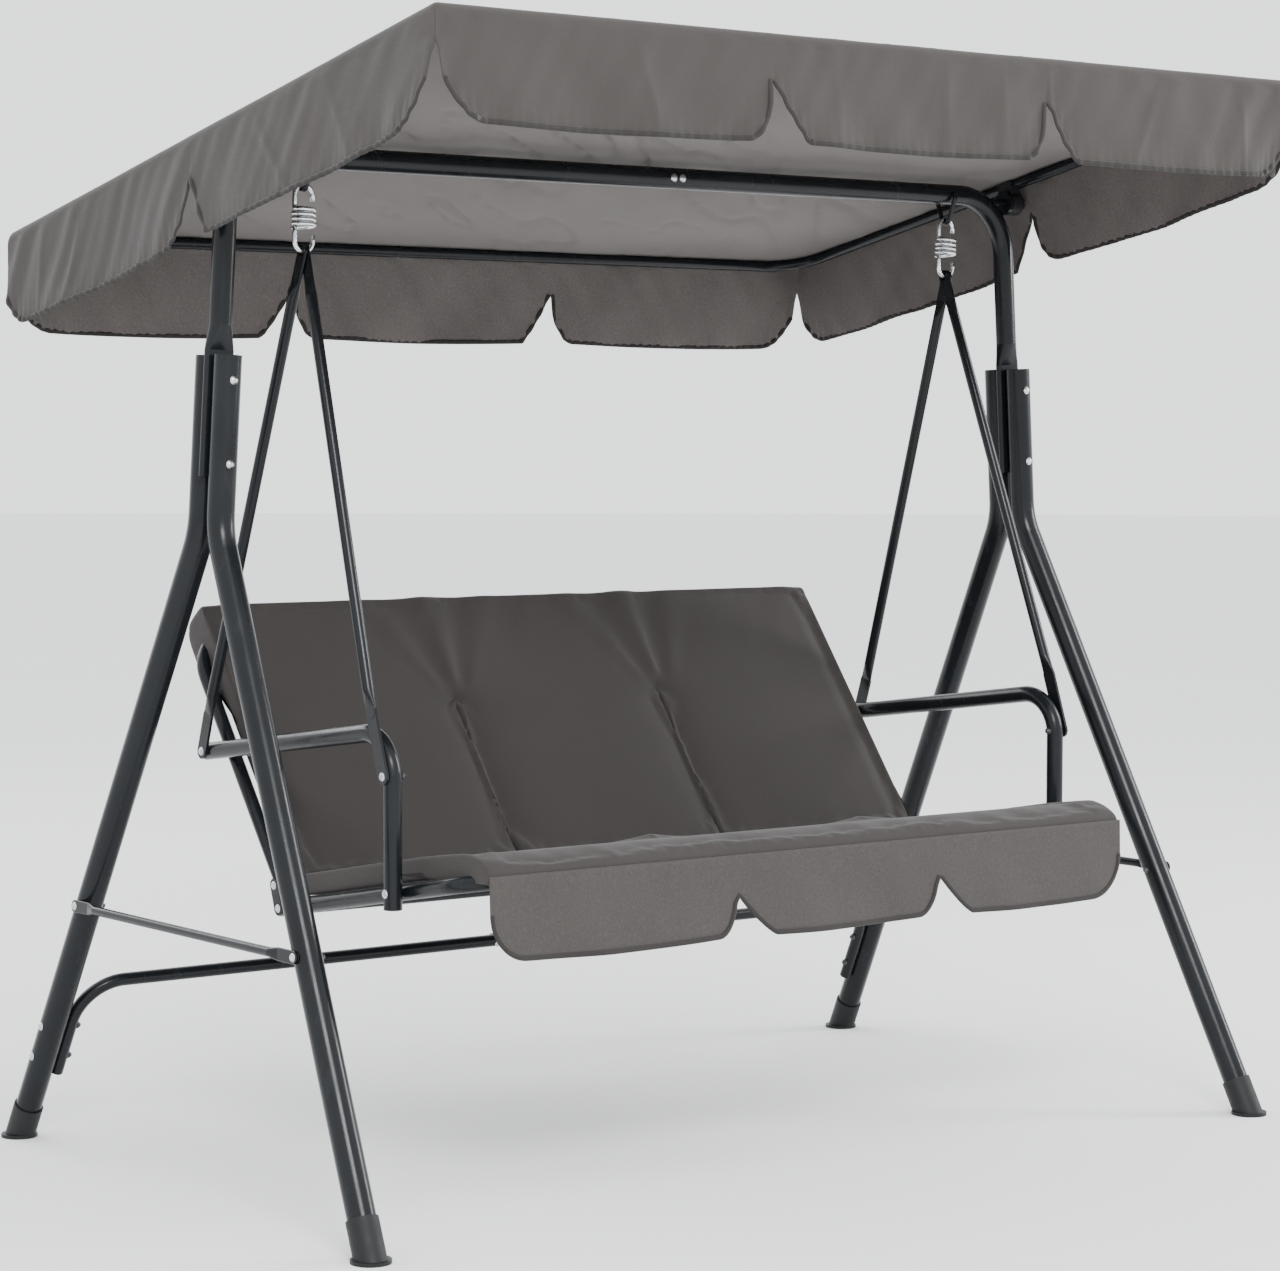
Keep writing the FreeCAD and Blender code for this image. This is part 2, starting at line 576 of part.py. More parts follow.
def fasten(groups, group, start, along, grip):
    """Adds a bolt and its nut to a group; start is on the clamped pieces' near face."""
    unit = V(along).normalize()
    gap = size("seat_gap")
    groups.setdefault(group + "_bolts", []).append(bolt(start - unit * gap, unit, grip + 2 * gap))
    nuts = "seat_nuts" if group in ("hanger", "seat") else "frame_nuts"
    groups.setdefault(nuts, []).append(capped_nut(start + unit * (grip + gap), unit))


def make_frame_fasteners():
    groups = {}
    post_grip = 2 * LEG_OFFSET + size("leg_diameter")
    for side, _ in SIDES:
        place = side_frame(side)
        outward = place.Rotation.multVec(V(side, 0, 0))
        for height in POST_BOLTS:
            fasten(groups, "post", place.multVec(V(0, -post_grip / 2, height)), V(0, 1, 0), post_grip)
        leg = size("leg_diameter")
        for height in CROSS_BOLTS:
            outside = place.multVec(leg_point(REAR, height, side * leg / 2))
            grip = leg + size("crossbar_diameter") + size("seat_gap")
            fasten(groups, "crossbar", outside, -outward, grip)
        for end, _ in ENDS:
            outside = place.multVec(leg_point(end, size("brace_height"),
                                              side * (FLAT_OFFSET + size("flat_thickness") / 2)))
            fasten(groups, "brace", outside, -outward, leg + size("flat_thickness") + size("seat_gap"))
    for x in BAR_BOLTS:
        half = size("bar_diameter") / 2
        fasten(groups, "bar", V(x, -half, size("bar_height")), V(0, 1, 0), 2 * half)
    corner, lower = crossbar_line(RIGHT)
    down = V(0, lower.y - corner.y, lower.z - corner.z).normalize()
    through = V(0, -down.z, down.y)
    half = size("crossbar_diameter") / 2
    joint = V(-size("crossbar_neck") / 2, corner.y, corner.z)
    fasten(groups, "crossbar", joint - through * half, through, 2 * half)
    for label, pieces in groups.items():
        feature(label, Part.makeCompound(pieces))


# --------------------------------------------------------------------------- hooks and springs

HOOK_HALF_ANGLE = math.atan(size("hook_half_span") / size("hook_apex_drop"))
HOOK_LOW = (size("bar_height") - size("hook_apex_drop")
            + size("hook_bottom") * (1 / math.sin(HOOK_HALF_ANGLE) - 1))
SWING_AXIS = HOOK_LOW + size("hook_rod") / 2 + size("link_gap") + size("spring_wire") / 2
SPRING_LOW = SWING_AXIS - size("spring_length")


def make_hook(side, side_name):
    """A triangular ring whose top side passes through the bar; its ends meet inside the tube."""
    span = size("hook_half_span")
    top = size("bar_height")
    ends_gap = size("hook_rod") / 2
    corners = [V(ends_gap, top, 0), V(span, top, 0), V(0, top - size("hook_apex_drop"), 0),
               V(-span, top, 0), V(-ends_gap, top, 0)]
    hook = tube(f"hook_{side_name}", "YZ_Plane", corners,
                [size("hook_corner"), size("hook_bottom"), size("hook_corner")], "hook_rod")
    hook.Placement = FreeCAD.Placement(V(side * size("hook_x"), 0, 0), FreeCAD.Rotation())


def swept_wire(edges, start, direction, radius, turning=False):
    """A round wire swept along a chain of edges; turning is for a chain that leaves its plane."""
    ring = Part.Wire(Part.makeCircle(radius, start, direction))
    return Part.Wire(edges).makePipeShell([ring], True, turning)


def end_loop(level, way, coil_end):
    """An end loop of the spring: up or down from a coil, over in a half circle, and a short tip."""
    radius = size("spring_radius")
    centre = level - way * radius
    leg = Part.LineSegment(V(-radius, 0, coil_end), V(-radius, 0, centre)).toShape()
    arch = Part.Arc(V(-radius, 0, centre), V(0, 0, level), V(radius, 0, centre)).toShape()
    end = V(radius, 0, centre - way * size("spring_tip"))
    tip = Part.LineSegment(V(radius, 0, centre), end).toShape()
    return swept_wire([leg, arch, tip], V(-radius, 0, coil_end), V(0, 0, way), size("spring_wire") / 2)


def make_spring(side, side_name):
    """Close coils with an open loop at each end; the loops stand in the plane y = 0."""
    radius = size("spring_radius")
    height = size("spring_pitch") * size("spring_turns")
    middle = (SWING_AXIS + SPRING_LOW) / 2
    helix = Part.makeHelix(size("spring_pitch"), height, radius)
    coils = swept_wire(helix.Edges, V(radius, 0, 0), V(0, 1, 0), size("spring_wire") / 2, True)
    coils.Placement = FreeCAD.Placement(V(0, 0, middle - height / 2), FreeCAD.Rotation(V(0, 0, 1), 180))
    upper = end_loop(SWING_AXIS, 1, middle + height / 2)
    lower = end_loop(SPRING_LOW, -1, middle - height / 2)
    spring = coils.fuse([upper, lower])
    feature(f"spring_{side_name}", spring,
            FreeCAD.Placement(V(side * size("hook_x"), 0, 0), FreeCAD.Rotation()))


# ------------------------------------------------------------------------------------ the seat

ARMREST_X = (size("rail_half_width") + (size("rail_diameter") + size("armrest_diameter")) / 2
             + size("seat_gap"))
HANGER_X = (ARMREST_X + size("armrest_diameter") / 2 + size("hanger_clearance")
            + size("flat_thickness") / 2)
# Two flat arms hang side by side in the spring's lower loop, which curves up beside its lowest point.
ARM_REACH = size("flat_thickness") + 3 * size("seat_gap")
LOOP_INSIDE = size("spring_radius") - size("spring_wire") / 2
LOOP_RISE = LOOP_INSIDE - math.sqrt(LOOP_INSIDE ** 2 - ARM_REACH ** 2)
EYE_HEIGHT = (SPRING_LOW + LOOP_RISE + size("spring_wire") / 2 + size("link_gap")
              - size("eye_radius"))
SEAT_PLACE = FreeCAD.Placement(V(0, 0, size("seat_height")),
                               FreeCAD.Rotation(V(1, 0, 0), -size("seat_slope")))
BACK_PLACE = FreeCAD.Placement(V(0, size("back_bolt_y"), size("back_bolt_z")),
                               FreeCAD.Rotation(V(1, 0, 0), 90 - size("back_recline")))


def hanger_foot(end):
    if end == FRONT:
        return V(0, size("hanger_front_y"), size("hanger_front_z"))
    return V(0, size("hanger_rear_y"), size("hanger_rear_z"))


def rail_height(y):
    """The height of a seat rail's centre line above a point y."""
    return size("seat_height") - y * math.tan(math.radians(size("seat_slope")))


def make_hanger(side, side_name, end, end_name):
    """One arm of the V that hangs the seat.

    The two arms' flat tops lie side by side. The flat lower end lies along the armrest, and the
    arm leans inwards from there up.
    """
    beside = end * (ARM_REACH - size("flat_thickness") / 2)
    top = V(side * (size("hook_x") + beside), 0, EYE_HEIGHT)
    bottom = hanger_foot(end) + V(side * HANGER_X, 0, 0)
    flat_length = size(f"{end_name}_flat_length")
    upwards = V(0, top.y - bottom.y, top.z - bottom.z).normalize()
    kink = bottom + upwards * flat_length
    width, flat = size("hanger_flat_width"), size("flat_thickness")
    arm = flat_ended_rod((kink - top).Length, size("hanger_diameter"), width,
                         [size("eye_flat_length"), flat], [size("eye_radius"), 0])
    arm.Placement = frame_at(top, kink - top, V(1, 0, 0))
    blade = slot_prism(0, flat_length, width, flat).cut(cross_hole(0, BOLT_HOLE_RADIUS, 2 * flat))
    blade.Placement = frame_at(bottom, upwards, V(1, 0, 0))
    feature(f"hanger_{end_name}_{side_name}", arm.fuse(blade).removeSplitter())


def make_armrest(side, side_name):
    rear = hanger_foot(REAR)
    front_y = hanger_foot(FRONT).y
    rise = math.tan(math.radians(size("armrest_rise")))
    tail = rear.y + size("armrest_tail")
    corners = [V(tail, rear.z - rise * (tail - rear.y), 0),
               V(front_y, rear.z + rise * (rear.y - front_y), 0),
               V(front_y, rail_height(front_y) - size("armrest_foot"), 0)]
    armrest = tube(f"armrest_{side_name}", "YZ_Plane", corners, [size("armrest_bend")],
                   "armrest_diameter", "tube_wall")
    for point in (rear, hanger_foot(FRONT), V(0, front_y, rail_height(front_y))):
        drill(armrest, point, V(1, 0, 0), size("armrest_diameter"))
    armrest.Placement = FreeCAD.Placement(V(side * ARMREST_X, 0, 0), FreeCAD.Rotation())


def rail_bolt_points():
    """Bolt holes of a seat rail in the seat's plane: the armrest's and the bracket's."""
    slope = math.radians(size("seat_slope"))
    return size("hanger_front_y") / math.cos(slope), size("seat_rear") - size("bracket_bolt_inset")


def make_seat_frame():
    half = size("rail_half_width")
    rear = size("seat_rear")
    front = -size("seat_front")
    corners = [V(-half, rear, 0), V(-half, front, 0), V(half, front, 0), V(half, rear, 0)]
    frame = tube("seat_frame", "XY_Plane", corners, [size("seat_bend")] * 2, "rail_diameter",
                 "rail_wall")
    for side, _ in SIDES:
        for along in rail_bolt_points():
            drill(frame, V(side * half, along, 0), V(1, 0, 0), size("rail_diameter"))
    frame.Placement = SEAT_PLACE

    inner = half - size("rail_diameter") / 2 - size("soft_gap")
    along = rear - size("rear_tube_inset")
    cross = tube("seat_rear_tube", "XY_Plane", [V(-inner, along, 0), V(inner, along, 0)], [],
                 "rail_diameter", "rail_wall")
    cross.Placement = SEAT_PLACE


def make_back_frame():
    half = size("rail_half_width")
    top = size("back_length")
    tail = -size("back_tail")
    corners = [V(-half, tail, 0), V(-half, top, 0), V(half, top, 0), V(half, tail, 0)]
    frame = tube("back_frame", "XY_Plane", corners, [size("back_bend")] * 2, "back_diameter",
                 "rail_wall")
    for side, _ in SIDES:
        drill(frame, V(side * half, 0, 0), V(1, 0, 0), size("back_diameter"))
    frame.Placement = BACK_PLACE


BRACKET_X = size("rail_half_width") + size("rail_diameter") / 2 + size("seat_gap")


def bracket_ends():
    """The bracket's two bolts: on the rail, and at the foot of the back frame."""
    on_rail = SEAT_PLACE.multVec(V(0, rail_bolt_points()[1], 0))
    on_back = V(0, size("back_bolt_y"), size("back_bolt_z"))
    return on_rail, on_back


def make_back_brackets():
    on_rail, on_back = bracket_ends()
    length = (on_back - on_rail).Length
    plates = []
    for side, _ in SIDES:
        plate = slot_prism(0, length, size("bracket_width"), size("bracket_thickness"))
        for x in (0, length):
            plate = plate.cut(cross_hole(x, BOLT_HOLE_RADIUS, 4 * size("bracket_thickness")))
        middle = side * (BRACKET_X + size("bracket_thickness") / 2)
        plate.Placement = frame_at(on_rail + V(middle, 0, 0), on_back - on_rail, V(1, 0, 0))
        plates.append(plate)
    feature("back_brackets", Part.makeCompound(plates))


def make_seat_fasteners():
    groups = {}
    inner_face = size("rail_half_width") - size("rail_diameter") / 2
    armrest_outer = ARMREST_X + size("armrest_diameter") / 2
    hanger_outer = HANGER_X + size("flat_thickness") / 2
    bracket_outer = BRACKET_X + size("bracket_thickness")
    front_y = size("hanger_front_y")
    for side, _ in SIDES:
        inward = V(-side, 0, 0)
        for end, _ in ENDS:
            fasten(groups, "hanger", hanger_foot(end) + V(side * hanger_outer, 0, 0), inward,
                   hanger_outer - ARMREST_X + size("armrest_diameter") / 2)
        fasten(groups, "seat", V(side * armrest_outer, front_y, rail_height(front_y)), inward,
               armrest_outer - inner_face)
        for point in bracket_ends():
            fasten(groups, "seat", point + V(side * bracket_outer, 0, 0), inward,
                   bracket_outer - inner_face)
    for label, pieces in groups.items():
        feature(label, Part.makeCompound(pieces))


# -------------------------------------------------------------------------- soft goods of the seat

def prism(label, outline, half_width, place):
    """A solid with that outline in the local YZ plane, as wide as 2 * half_width."""
    points = [V(-half_width, y, z) for y, z in outline]
    face = Part.Face(Part.makePolygon(points + points[:1]))
    return feature(label, face.extrude(V(2 * half_width, 0, 0)), place)


def make_seat_cushion():
    """Both outlines are in the seat's plane: y along the slope, z square to it."""
    gap = size("soft_gap")
    half = size("cushion_half_width")
    tube_top = size("rail_diameter") / 2 + gap
    under = tube_top + size("sling_thickness")
    front_tube = -size("seat_front")
    rear_tube = size("seat_rear") - size("rear_tube_inset")
    prism("seat_sling", [(front_tube, tube_top), (rear_tube, tube_top), (rear_tube, under),
                         (front_tube, under)], half - 2 * gap, SEAT_PLACE)
    low = under + gap
    high = low + size("seat_cushion_thickness")
    inside = front_tube - size("rail_diameter") / 2 - gap
    outside = inside - size("cushion_roll")
    tail = rear_tube + size("cushion_tail")
    lip = -size("roll_lip")
    prism("seat_cushion",
          [(tail, low), (inside, low), (inside, lip), (outside + size("roll_chin"), lip), (outside, -lip),
           (outside + size("roll_brow_inset"), size("roll_brow")),
           (outside + size("roll_crown_inset"), high - size("roll_crown_drop")),
           (outside + size("roll_depth"), high), (tail - size("tail_inset"), high),
           (tail, high - size("tail_drop"))], half, SEAT_PLACE)


def make_back_cushion():
    """Outlines in the back's plane: y up the back, z towards the sitter."""
    gap = size("soft_gap")
    half = size("cushion_half_width")
    tube_face = size("back_diameter") / 2 + gap
    skin = tube_face + size("sling_thickness")
    top_tube = size("back_length") + size("back_diameter") / 2
    sling_foot = size("back_sling_foot")
    prism("back_sling", [(sling_foot, tube_face), (top_tube, tube_face), (top_tube, skin),
                         (sling_foot, skin)], half - 2 * gap, BACK_PLACE)
    rear = skin + gap
    front = rear + size("back_cushion_thickness")
    lid = top_tube + gap * 2
    crest = lid + size("back_cap")
    behind = -tube_face - size("flap_thickness")
    hem = crest - size("back_flap")
    rest = math.tan(math.radians(size("back_recline") - size("seat_slope")))
    foot = -size("back_foot")
    rounding = size("flap_rounding")
    prism("back_cushion",
          [(foot, front), (crest - size("crest_inset"), front), (crest, front - size("crest_drop")),
           (crest, behind + rounding), (crest - rounding, behind), (hem, behind), (hem, -tube_face),
           (lid, -tube_face), (lid, rear), (foot + (front - rear) * rest, rear)], half, BACK_PLACE)


SCALLOPS_ALONG = 3
SCALLOPS_ACROSS = 2


def skirt_outline(length, depth, scallops, slope=0):
    """A skirt's outline from its upper left corner: scallops with cut corners and notches between.

    slope is how far the right end lies below the left, for a skirt that follows a slope.
    """
    corner = size("scallop_corner")
    notch = size("notch_half_width")
    rise = size("notch_depth")
    pitch = length / scallops
    lower = [(0, -depth + corner), (corner / 2, -depth)]
    for number in range(1, scallops):
        middle = pitch * number
        lower += [(middle - notch, -depth), (middle, -depth + rise), (middle + notch, -depth)]
    lower += [(length - corner / 2, -depth), (length, -depth + corner)]
    return [(along, z - slope * along / length) for along, z in [(0, 0)] + lower + [(length, 0)]]


def skirt(label, start, along, length, depth, scallops, slope=0):
    """A thin vertical skirt from its upper corner along a level direction; it thickens to the left."""
    unit = V(along)
    points = [start + unit * distance + V(0, 0, z)
              for distance, z in skirt_outline(length, depth, scallops, slope)]
    face = Part.Face(Part.makePolygon(points + points[:1]))
    feature(label, face.extrude(V(-unit.y, unit.x, 0) * size("skirt_thickness")))


def make_cushion_skirt():
    gap = size("soft_gap")
    roll = size("seat_front") + size("rail_diameter") / 2 + gap + size("cushion_roll")
    nose = SEAT_PLACE.multVec(V(0, -roll, size("roll_lip"))).y - gap - size("skirt_thickness")
    half = size("cushion_half_width")
    skirt("cushion_skirt", V(-half, nose, size("skirt_top")), V(1, 0, 0), 2 * half,
          size("skirt_depth"), SCALLOPS_ALONG)


# ---------------------------------------------------------------------------------- the canopy

CANOPY_CLOTH = (size("canopy_rise") + size("canopy_bar_diameter") / 2 + size("soft_gap"))
# The canopy slides forward on its hubs by this much, so that it overhangs evenly.
CANOPY_SHIFT = -CANOPY_CLOTH * math.tan(math.radians(size("canopy_tilt")))
CANOPY_PLACE = FreeCAD.Placement(V(0, 0, TILT_AXIS),
                                 FreeCAD.Rotation(V(1, 0, 0), -size("canopy_tilt")))


def make_canopy_frame():
    """Four straight bars and four bent corner tubes in one plane."""
    x = CANOPY_BAR_X
    y = size("canopy_half_depth")
    leg = size("corner_leg")
    gap = size("seat_gap")
    raised = CANOPY_PLACE.multiply(FreeCAD.Placement(V(0, CANOPY_SHIFT, size("canopy_rise")),
                                                     FreeCAD.Rotation()))
    for end, name in ENDS:
        bar = tube(f"canopy_bar_{name}", "XY_Plane", [V(-x + leg, end * y, 0), V(x - leg, end * y, 0)],
                   [], "canopy_bar_diameter", "tube_wall")
        bar.Placement = raised
    for side, name in SIDES:
        bar = tube(f"canopy_bar_{name}", "XY_Plane", [V(side * x, -y + leg, 0), V(side * x, y - leg, 0)],
                   [], "canopy_bar_diameter", "tube_wall")
        bar.Placement = raised
        for end, end_name in ENDS:
            label = f"canopy_corner_{end_name}_{name}"
            corners = [V(side * x, end * (y - leg + gap), 0), V(side * x, end * y, 0),
                       V(side * (x - leg + gap), end * y, 0)]
            bend = tube(label, "XY_Plane", corners, [size("canopy_bend")], "canopy_bar_diameter",
                        "tube_wall")
            bend.Placement = raised


def make_canopy_cloth():
    """The top cloth as a thin plate, and four skirts that hang straight down from its edges."""
    thick = size("skirt_thickness")
    reach = size("canopy_bar_diameter") / 2 + size("valance_offset")
    half_x = CANOPY_BAR_X + reach
    half_y = size("canopy_half_depth") + reach
    gap = size("soft_gap")
    low, high = CANOPY_CLOTH, CANOPY_CLOTH + thick
    top_place = CANOPY_PLACE.multiply(FreeCAD.Placement(V(0, CANOPY_SHIFT, 0), FreeCAD.Rotation()))
    prism("canopy_top", [(-half_y, low), (half_y, low), (half_y, high), (-half_y, high)], half_x,
          top_place)
    edge = {end: top_place.multVec(V(0, end * half_y, low)) for end, _ in ENDS}
    drop = edge[FRONT].z - edge[REAR].z
    inner_x = half_x - thick - gap
    skirt("valance_front", V(-half_x, edge[FRONT].y + gap, edge[FRONT].z - 2 * gap), V(1, 0, 0),
          2 * half_x, size("valance_depth"), SCALLOPS_ALONG)
    skirt("valance_rear", V(half_x, edge[REAR].y - gap, edge[REAR].z - 2 * gap), V(-1, 0, 0),
          2 * half_x, size("valance_depth"), SCALLOPS_ALONG)
    inset = thick + 2 * gap
    length = edge[REAR].y - edge[FRONT].y - 2 * inset
    slope = drop * length / (length + 2 * inset)
    start_z = edge[FRONT].z - 2 * gap - drop * inset / length
    for side, name in SIDES:
        outer = side * (inner_x + thick) if side == RIGHT else side * inner_x
        skirt(f"valance_{name}", V(outer, edge[FRONT].y + inset, start_z), V(0, 1, 0), length,
              size("valance_depth"), SCALLOPS_ACROSS, slope)


# ------------------------------------------------------------------------------------ tilt hubs

AXIS = V(0, 0, TILT_AXIS)


def make_pivot_stub(side, side_name):
    """A stub out of the top tube's bend, its toothed disc, and a threaded end for the knob."""
    stub = doc.addObject("PartDesign::Body", f"pivot_stub_{side_name}")
    outward = V(side, 0, 0)
    root = AXIS + outward * (HUB_X - size("stub_length"))
    disc = AXIS + outward * HUB_X
    tip = KNOB_X + size("axle_in_knob")
    round_feature(stub, "AdditiveCylinder", "rod", root, outward, (disc - root).Length,
                  "Sizes.stub_diameter / 2")
    round_feature(stub, "AdditiveCylinder", "disc", disc, outward, size("disc_thickness"),
                  "Sizes.hub_diameter / 2")
    round_feature(stub, "AdditiveCylinder", "axle", disc, outward, tip - HUB_X,
                  "Sizes.axle_diameter / 2")
    keep(f"pivot_stub_{side_name}", stub)


def make_tilt_clamp(side, side_name):
    """A plastic block: a disc about the axis below, and a saddle round the side bar above."""
    clamp = doc.addObject("PartDesign::Body", f"tilt_clamp_{side_name}")
    outward = V(side, 0, 0)
    start = outward * CLAMP_X
    thickness = size("clamp_thickness")
    round_feature(clamp, "AdditiveCylinder", "disc", start, outward, thickness,
                  "Sizes.hub_diameter / 2")
    saddle = clamp.newObject("PartDesign::AdditiveBox", f"{clamp.Name}_saddle")
    saddle.setExpression("Length", "Sizes.clamp_thickness")
    saddle.setExpression("Width", "Sizes.saddle_width")
    saddle.setExpression("Height", "Sizes.canopy_rise + Sizes.canopy_bar_diameter / 4")
    low_x = min(side * CLAMP_X, side * (CLAMP_X + thickness))
    saddle.Placement = FreeCAD.Placement(V(low_x, -size("saddle_width") / 2, 0), FreeCAD.Rotation())
    reach = size("hub_diameter")
    round_feature(clamp, "SubtractiveCylinder", "axle_bore", start - outward, outward, thickness + 2,
                  "Sizes.axle_diameter / 2 + Sizes.axle_fit")
    round_feature(clamp, "SubtractiveCylinder", "bar_bore",
                  V(side * CANOPY_BAR_X, -reach, size("canopy_rise")), V(0, 1, 0), 2 * reach,
                  "Sizes.canopy_bar_diameter / 2 + Sizes.bar_fit")
    clamp.Placement = CANOPY_PLACE
    keep(f"tilt_clamp_{side_name}", clamp)


def make_knob(side, side_name):
    """A round hand knob with six finger grooves, screwed on the end of the axle."""
    knob = doc.addObject("PartDesign::Body", f"tilt_knob_{side_name}")
    outward = V(side, 0, 0)
    start = outward * KNOB_X
    round_feature(knob, "AdditiveCylinder", "disc", start, outward, size("knob_thickness"),
                  "Sizes.knob_diameter / 2")
    round_feature(knob, "SubtractiveCylinder", "bore", start - outward, outward,
                  size("axle_in_knob") + 1 + size("hub_gap"),
                  "Sizes.axle_diameter / 2 + Sizes.axle_fit")
    for number in range(6):
        angle = math.radians(60 * number)
        groove = V(0, math.cos(angle), math.sin(angle)) * size("grip_circle") / 2
        round_feature(knob, "SubtractiveCylinder", "groove", start - outward + groove, outward,
                      size("knob_thickness") + 2, "Sizes.grip_diameter / 2")
    knob.Placement = FreeCAD.Placement(AXIS, FreeCAD.Rotation())
    keep(f"tilt_knob_{side_name}", knob)


# ------------------------------------------------------------------------------- the whole swing

for side, side_name in SIDES:
    for end, end_name in ENDS:
        make_leg(side, side_name, end, end_name)
        make_foot_cap(side, side_name, end, end_name)
        make_hanger(side, side_name, end, end_name)
    make_side_brace(side, side_name)
    make_crossbar(side, side_name)
    make_top_tube(side, side_name)
    make_hook(side, side_name)
    make_spring(side, side_name)
    make_armrest(side, side_name)
    make_pivot_stub(side, side_name)
    make_tilt_clamp(side, side_name)
    make_knob(side, side_name)
make_frame_fasteners()
make_seat_frame()
make_back_frame()
make_back_brackets()
make_seat_fasteners()
make_seat_cushion()
make_back_cushion()
make_cushion_skirt()
make_canopy_frame()
make_canopy_cloth()
doc.recompute()

for thing in doc.Objects:
    if "Invalid" in thing.State or "Error" in thing.State:
        raise RuntimeError(f"{thing.Label} failed: {thing.State}")
for label, thing in parts.items():
    if thing.Shape.isNull() or not thing.Shape.isValid() or not thing.Shape.Solids:
        raise RuntimeError(f"{label} has no valid solid")

os.makedirs("parts", exist_ok=True)
for label, thing in parts.items():
    thing.Shape.exportStep(f"parts/{label}.step")
    box = thing.Shape.BoundBox
    print(f"{label:28s} solids {len(thing.Shape.Solids)} volume {thing.Shape.Volume / 1000:9.1f} cm3"
          f"  x {box.XMin:7.1f} {box.XMax:7.1f}  y {box.YMin:7.1f} {box.YMax:7.1f}"
          f"  z {box.ZMin:7.1f} {box.ZMax:7.1f}")
print(len(parts), "sub-parts")
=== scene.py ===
"""The looks of a three-seat garden swing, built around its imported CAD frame.

Everything is in metres in the frame's axes: +X along the seat to the right, +Y to the rear, +Z up.
The soft goods, the springs and the bound edges are made here; the tubes, hubs and fasteners stay CAD.
"""
import json
import math

import bpy
import numpy as np
from mathutils import Matrix, Vector, noise


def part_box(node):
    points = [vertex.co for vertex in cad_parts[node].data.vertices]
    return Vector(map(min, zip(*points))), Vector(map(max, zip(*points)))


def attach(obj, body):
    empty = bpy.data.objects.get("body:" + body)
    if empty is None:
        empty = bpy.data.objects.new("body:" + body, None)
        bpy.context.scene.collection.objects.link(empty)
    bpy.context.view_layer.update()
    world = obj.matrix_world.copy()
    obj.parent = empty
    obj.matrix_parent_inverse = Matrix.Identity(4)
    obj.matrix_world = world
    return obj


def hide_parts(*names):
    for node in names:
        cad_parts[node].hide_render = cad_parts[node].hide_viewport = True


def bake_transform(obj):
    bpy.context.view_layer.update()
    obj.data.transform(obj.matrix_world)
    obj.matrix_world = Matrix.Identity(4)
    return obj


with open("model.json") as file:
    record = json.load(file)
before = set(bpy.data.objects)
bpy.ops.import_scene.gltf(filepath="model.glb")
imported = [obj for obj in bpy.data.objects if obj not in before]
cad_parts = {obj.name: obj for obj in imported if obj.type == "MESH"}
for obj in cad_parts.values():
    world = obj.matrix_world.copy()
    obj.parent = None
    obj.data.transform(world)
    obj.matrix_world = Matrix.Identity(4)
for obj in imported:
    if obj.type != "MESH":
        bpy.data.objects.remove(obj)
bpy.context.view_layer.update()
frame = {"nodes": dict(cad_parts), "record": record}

MM = 0.001
SIDES = ("left", "right")


def middle(node):
    """The middle of a CAD node's box."""
    low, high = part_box(node)
    return (low + high) / 2


# ------------------------------------------------------------------------------------ materials

class Finish:
    """A material's node tree around one Principled shader; textures use metres in the frame."""

    def __init__(self, name, **sockets):
        self.material = bpy.data.materials.new(name)
        self.material.use_nodes = True
        self.tree = self.material.node_tree
        self.shader = self.tree.nodes["Principled BSDF"]
        for socket, value in sockets.items():
            self.shader.inputs[socket.replace("_", " ")].default_value = value
        self.place = self.node("ShaderNodeTexCoord").outputs["Object"]

    def node(self, kind, inputs=None, **settings):
        made = self.tree.nodes.new(kind)
        for setting, value in settings.items():
            setattr(made, setting, value)
        for socket, value in (inputs or {}).items():
            if isinstance(value, bpy.types.NodeSocket):
                self.tree.links.new(value, made.inputs[socket])
            else:
                made.inputs[socket].default_value = value
        return made

    def noise(self, size, detail=2.0, stretch=(1, 1, 1)):
        """Cloudy values from 0 to 1, with features about size metres across."""
        place = self.node("ShaderNodeMapping", {"Vector": self.place, "Scale": stretch})
        made = self.node("ShaderNodeTexNoise", {"Vector": place.outputs[0], "Scale": 1 / size,
                                                "Detail": detail})
        return made.outputs[0]

    def grain(self, size):
        """Rounded cells about size metres across, as on a coated cloth's back."""
        made = self.node("ShaderNodeTexVoronoi", {"Vector": self.place, "Scale": 1 / size},
                         feature="SMOOTH_F1")
        return made.outputs["Distance"]

    def weave(self, pitch):
        """Threads along all three axes, so that two sets cross on any face."""
        bands = [self.node("ShaderNodeTexWave", {"Vector": self.place, "Scale": math.pi / 10 / pitch,
                                                 "Distortion": 0.4},
                           bands_direction=axis).outputs[1] for axis in "XYZ"]
        return self.math("ADD", self.math("ADD", bands[0], bands[1]), bands[2])

    def math(self, operation, first, second):
        return self.node("ShaderNodeMath", {0: first, 1: second}, operation=operation).outputs[0]

    def spread(self, value, low, high, start=0.3, end=0.7):
        """Maps start…end of a texture's value to low…high."""
        made = self.node("ShaderNodeMapRange", {"Value": value, "From Min": start, "From Max": end,
                                                "To Min": low, "To Max": high})
        return made.outputs[0]

    def blend(self, share, first, second):
        made = self.node("ShaderNodeMix", {"Factor": share}, data_type="RGBA")
        for socket, colour in ((6, first), (7, second)):
            if isinstance(colour, bpy.types.NodeSocket):
                self.tree.links.new(colour, made.inputs[socket])
            else:
                made.inputs[socket].default_value = (*colour, 1)
        return made.outputs[2]

    def bump(self, height, depth, strength=1.0, under=None):
        inputs = {"Height": height, "Distance": depth, "Strength": strength}
        if under is not None:
            inputs["Normal"] = under
        return self.node("ShaderNodeBump", inputs).outputs[0]

    def wire(self, colour=None, roughness=None, normal=None):
        for socket, value in (("Base Color", colour), ("Roughness", roughness), ("Normal", normal)):
            if value is not None:
                self.tree.links.new(value, self.shader.inputs[socket])
        return self.material


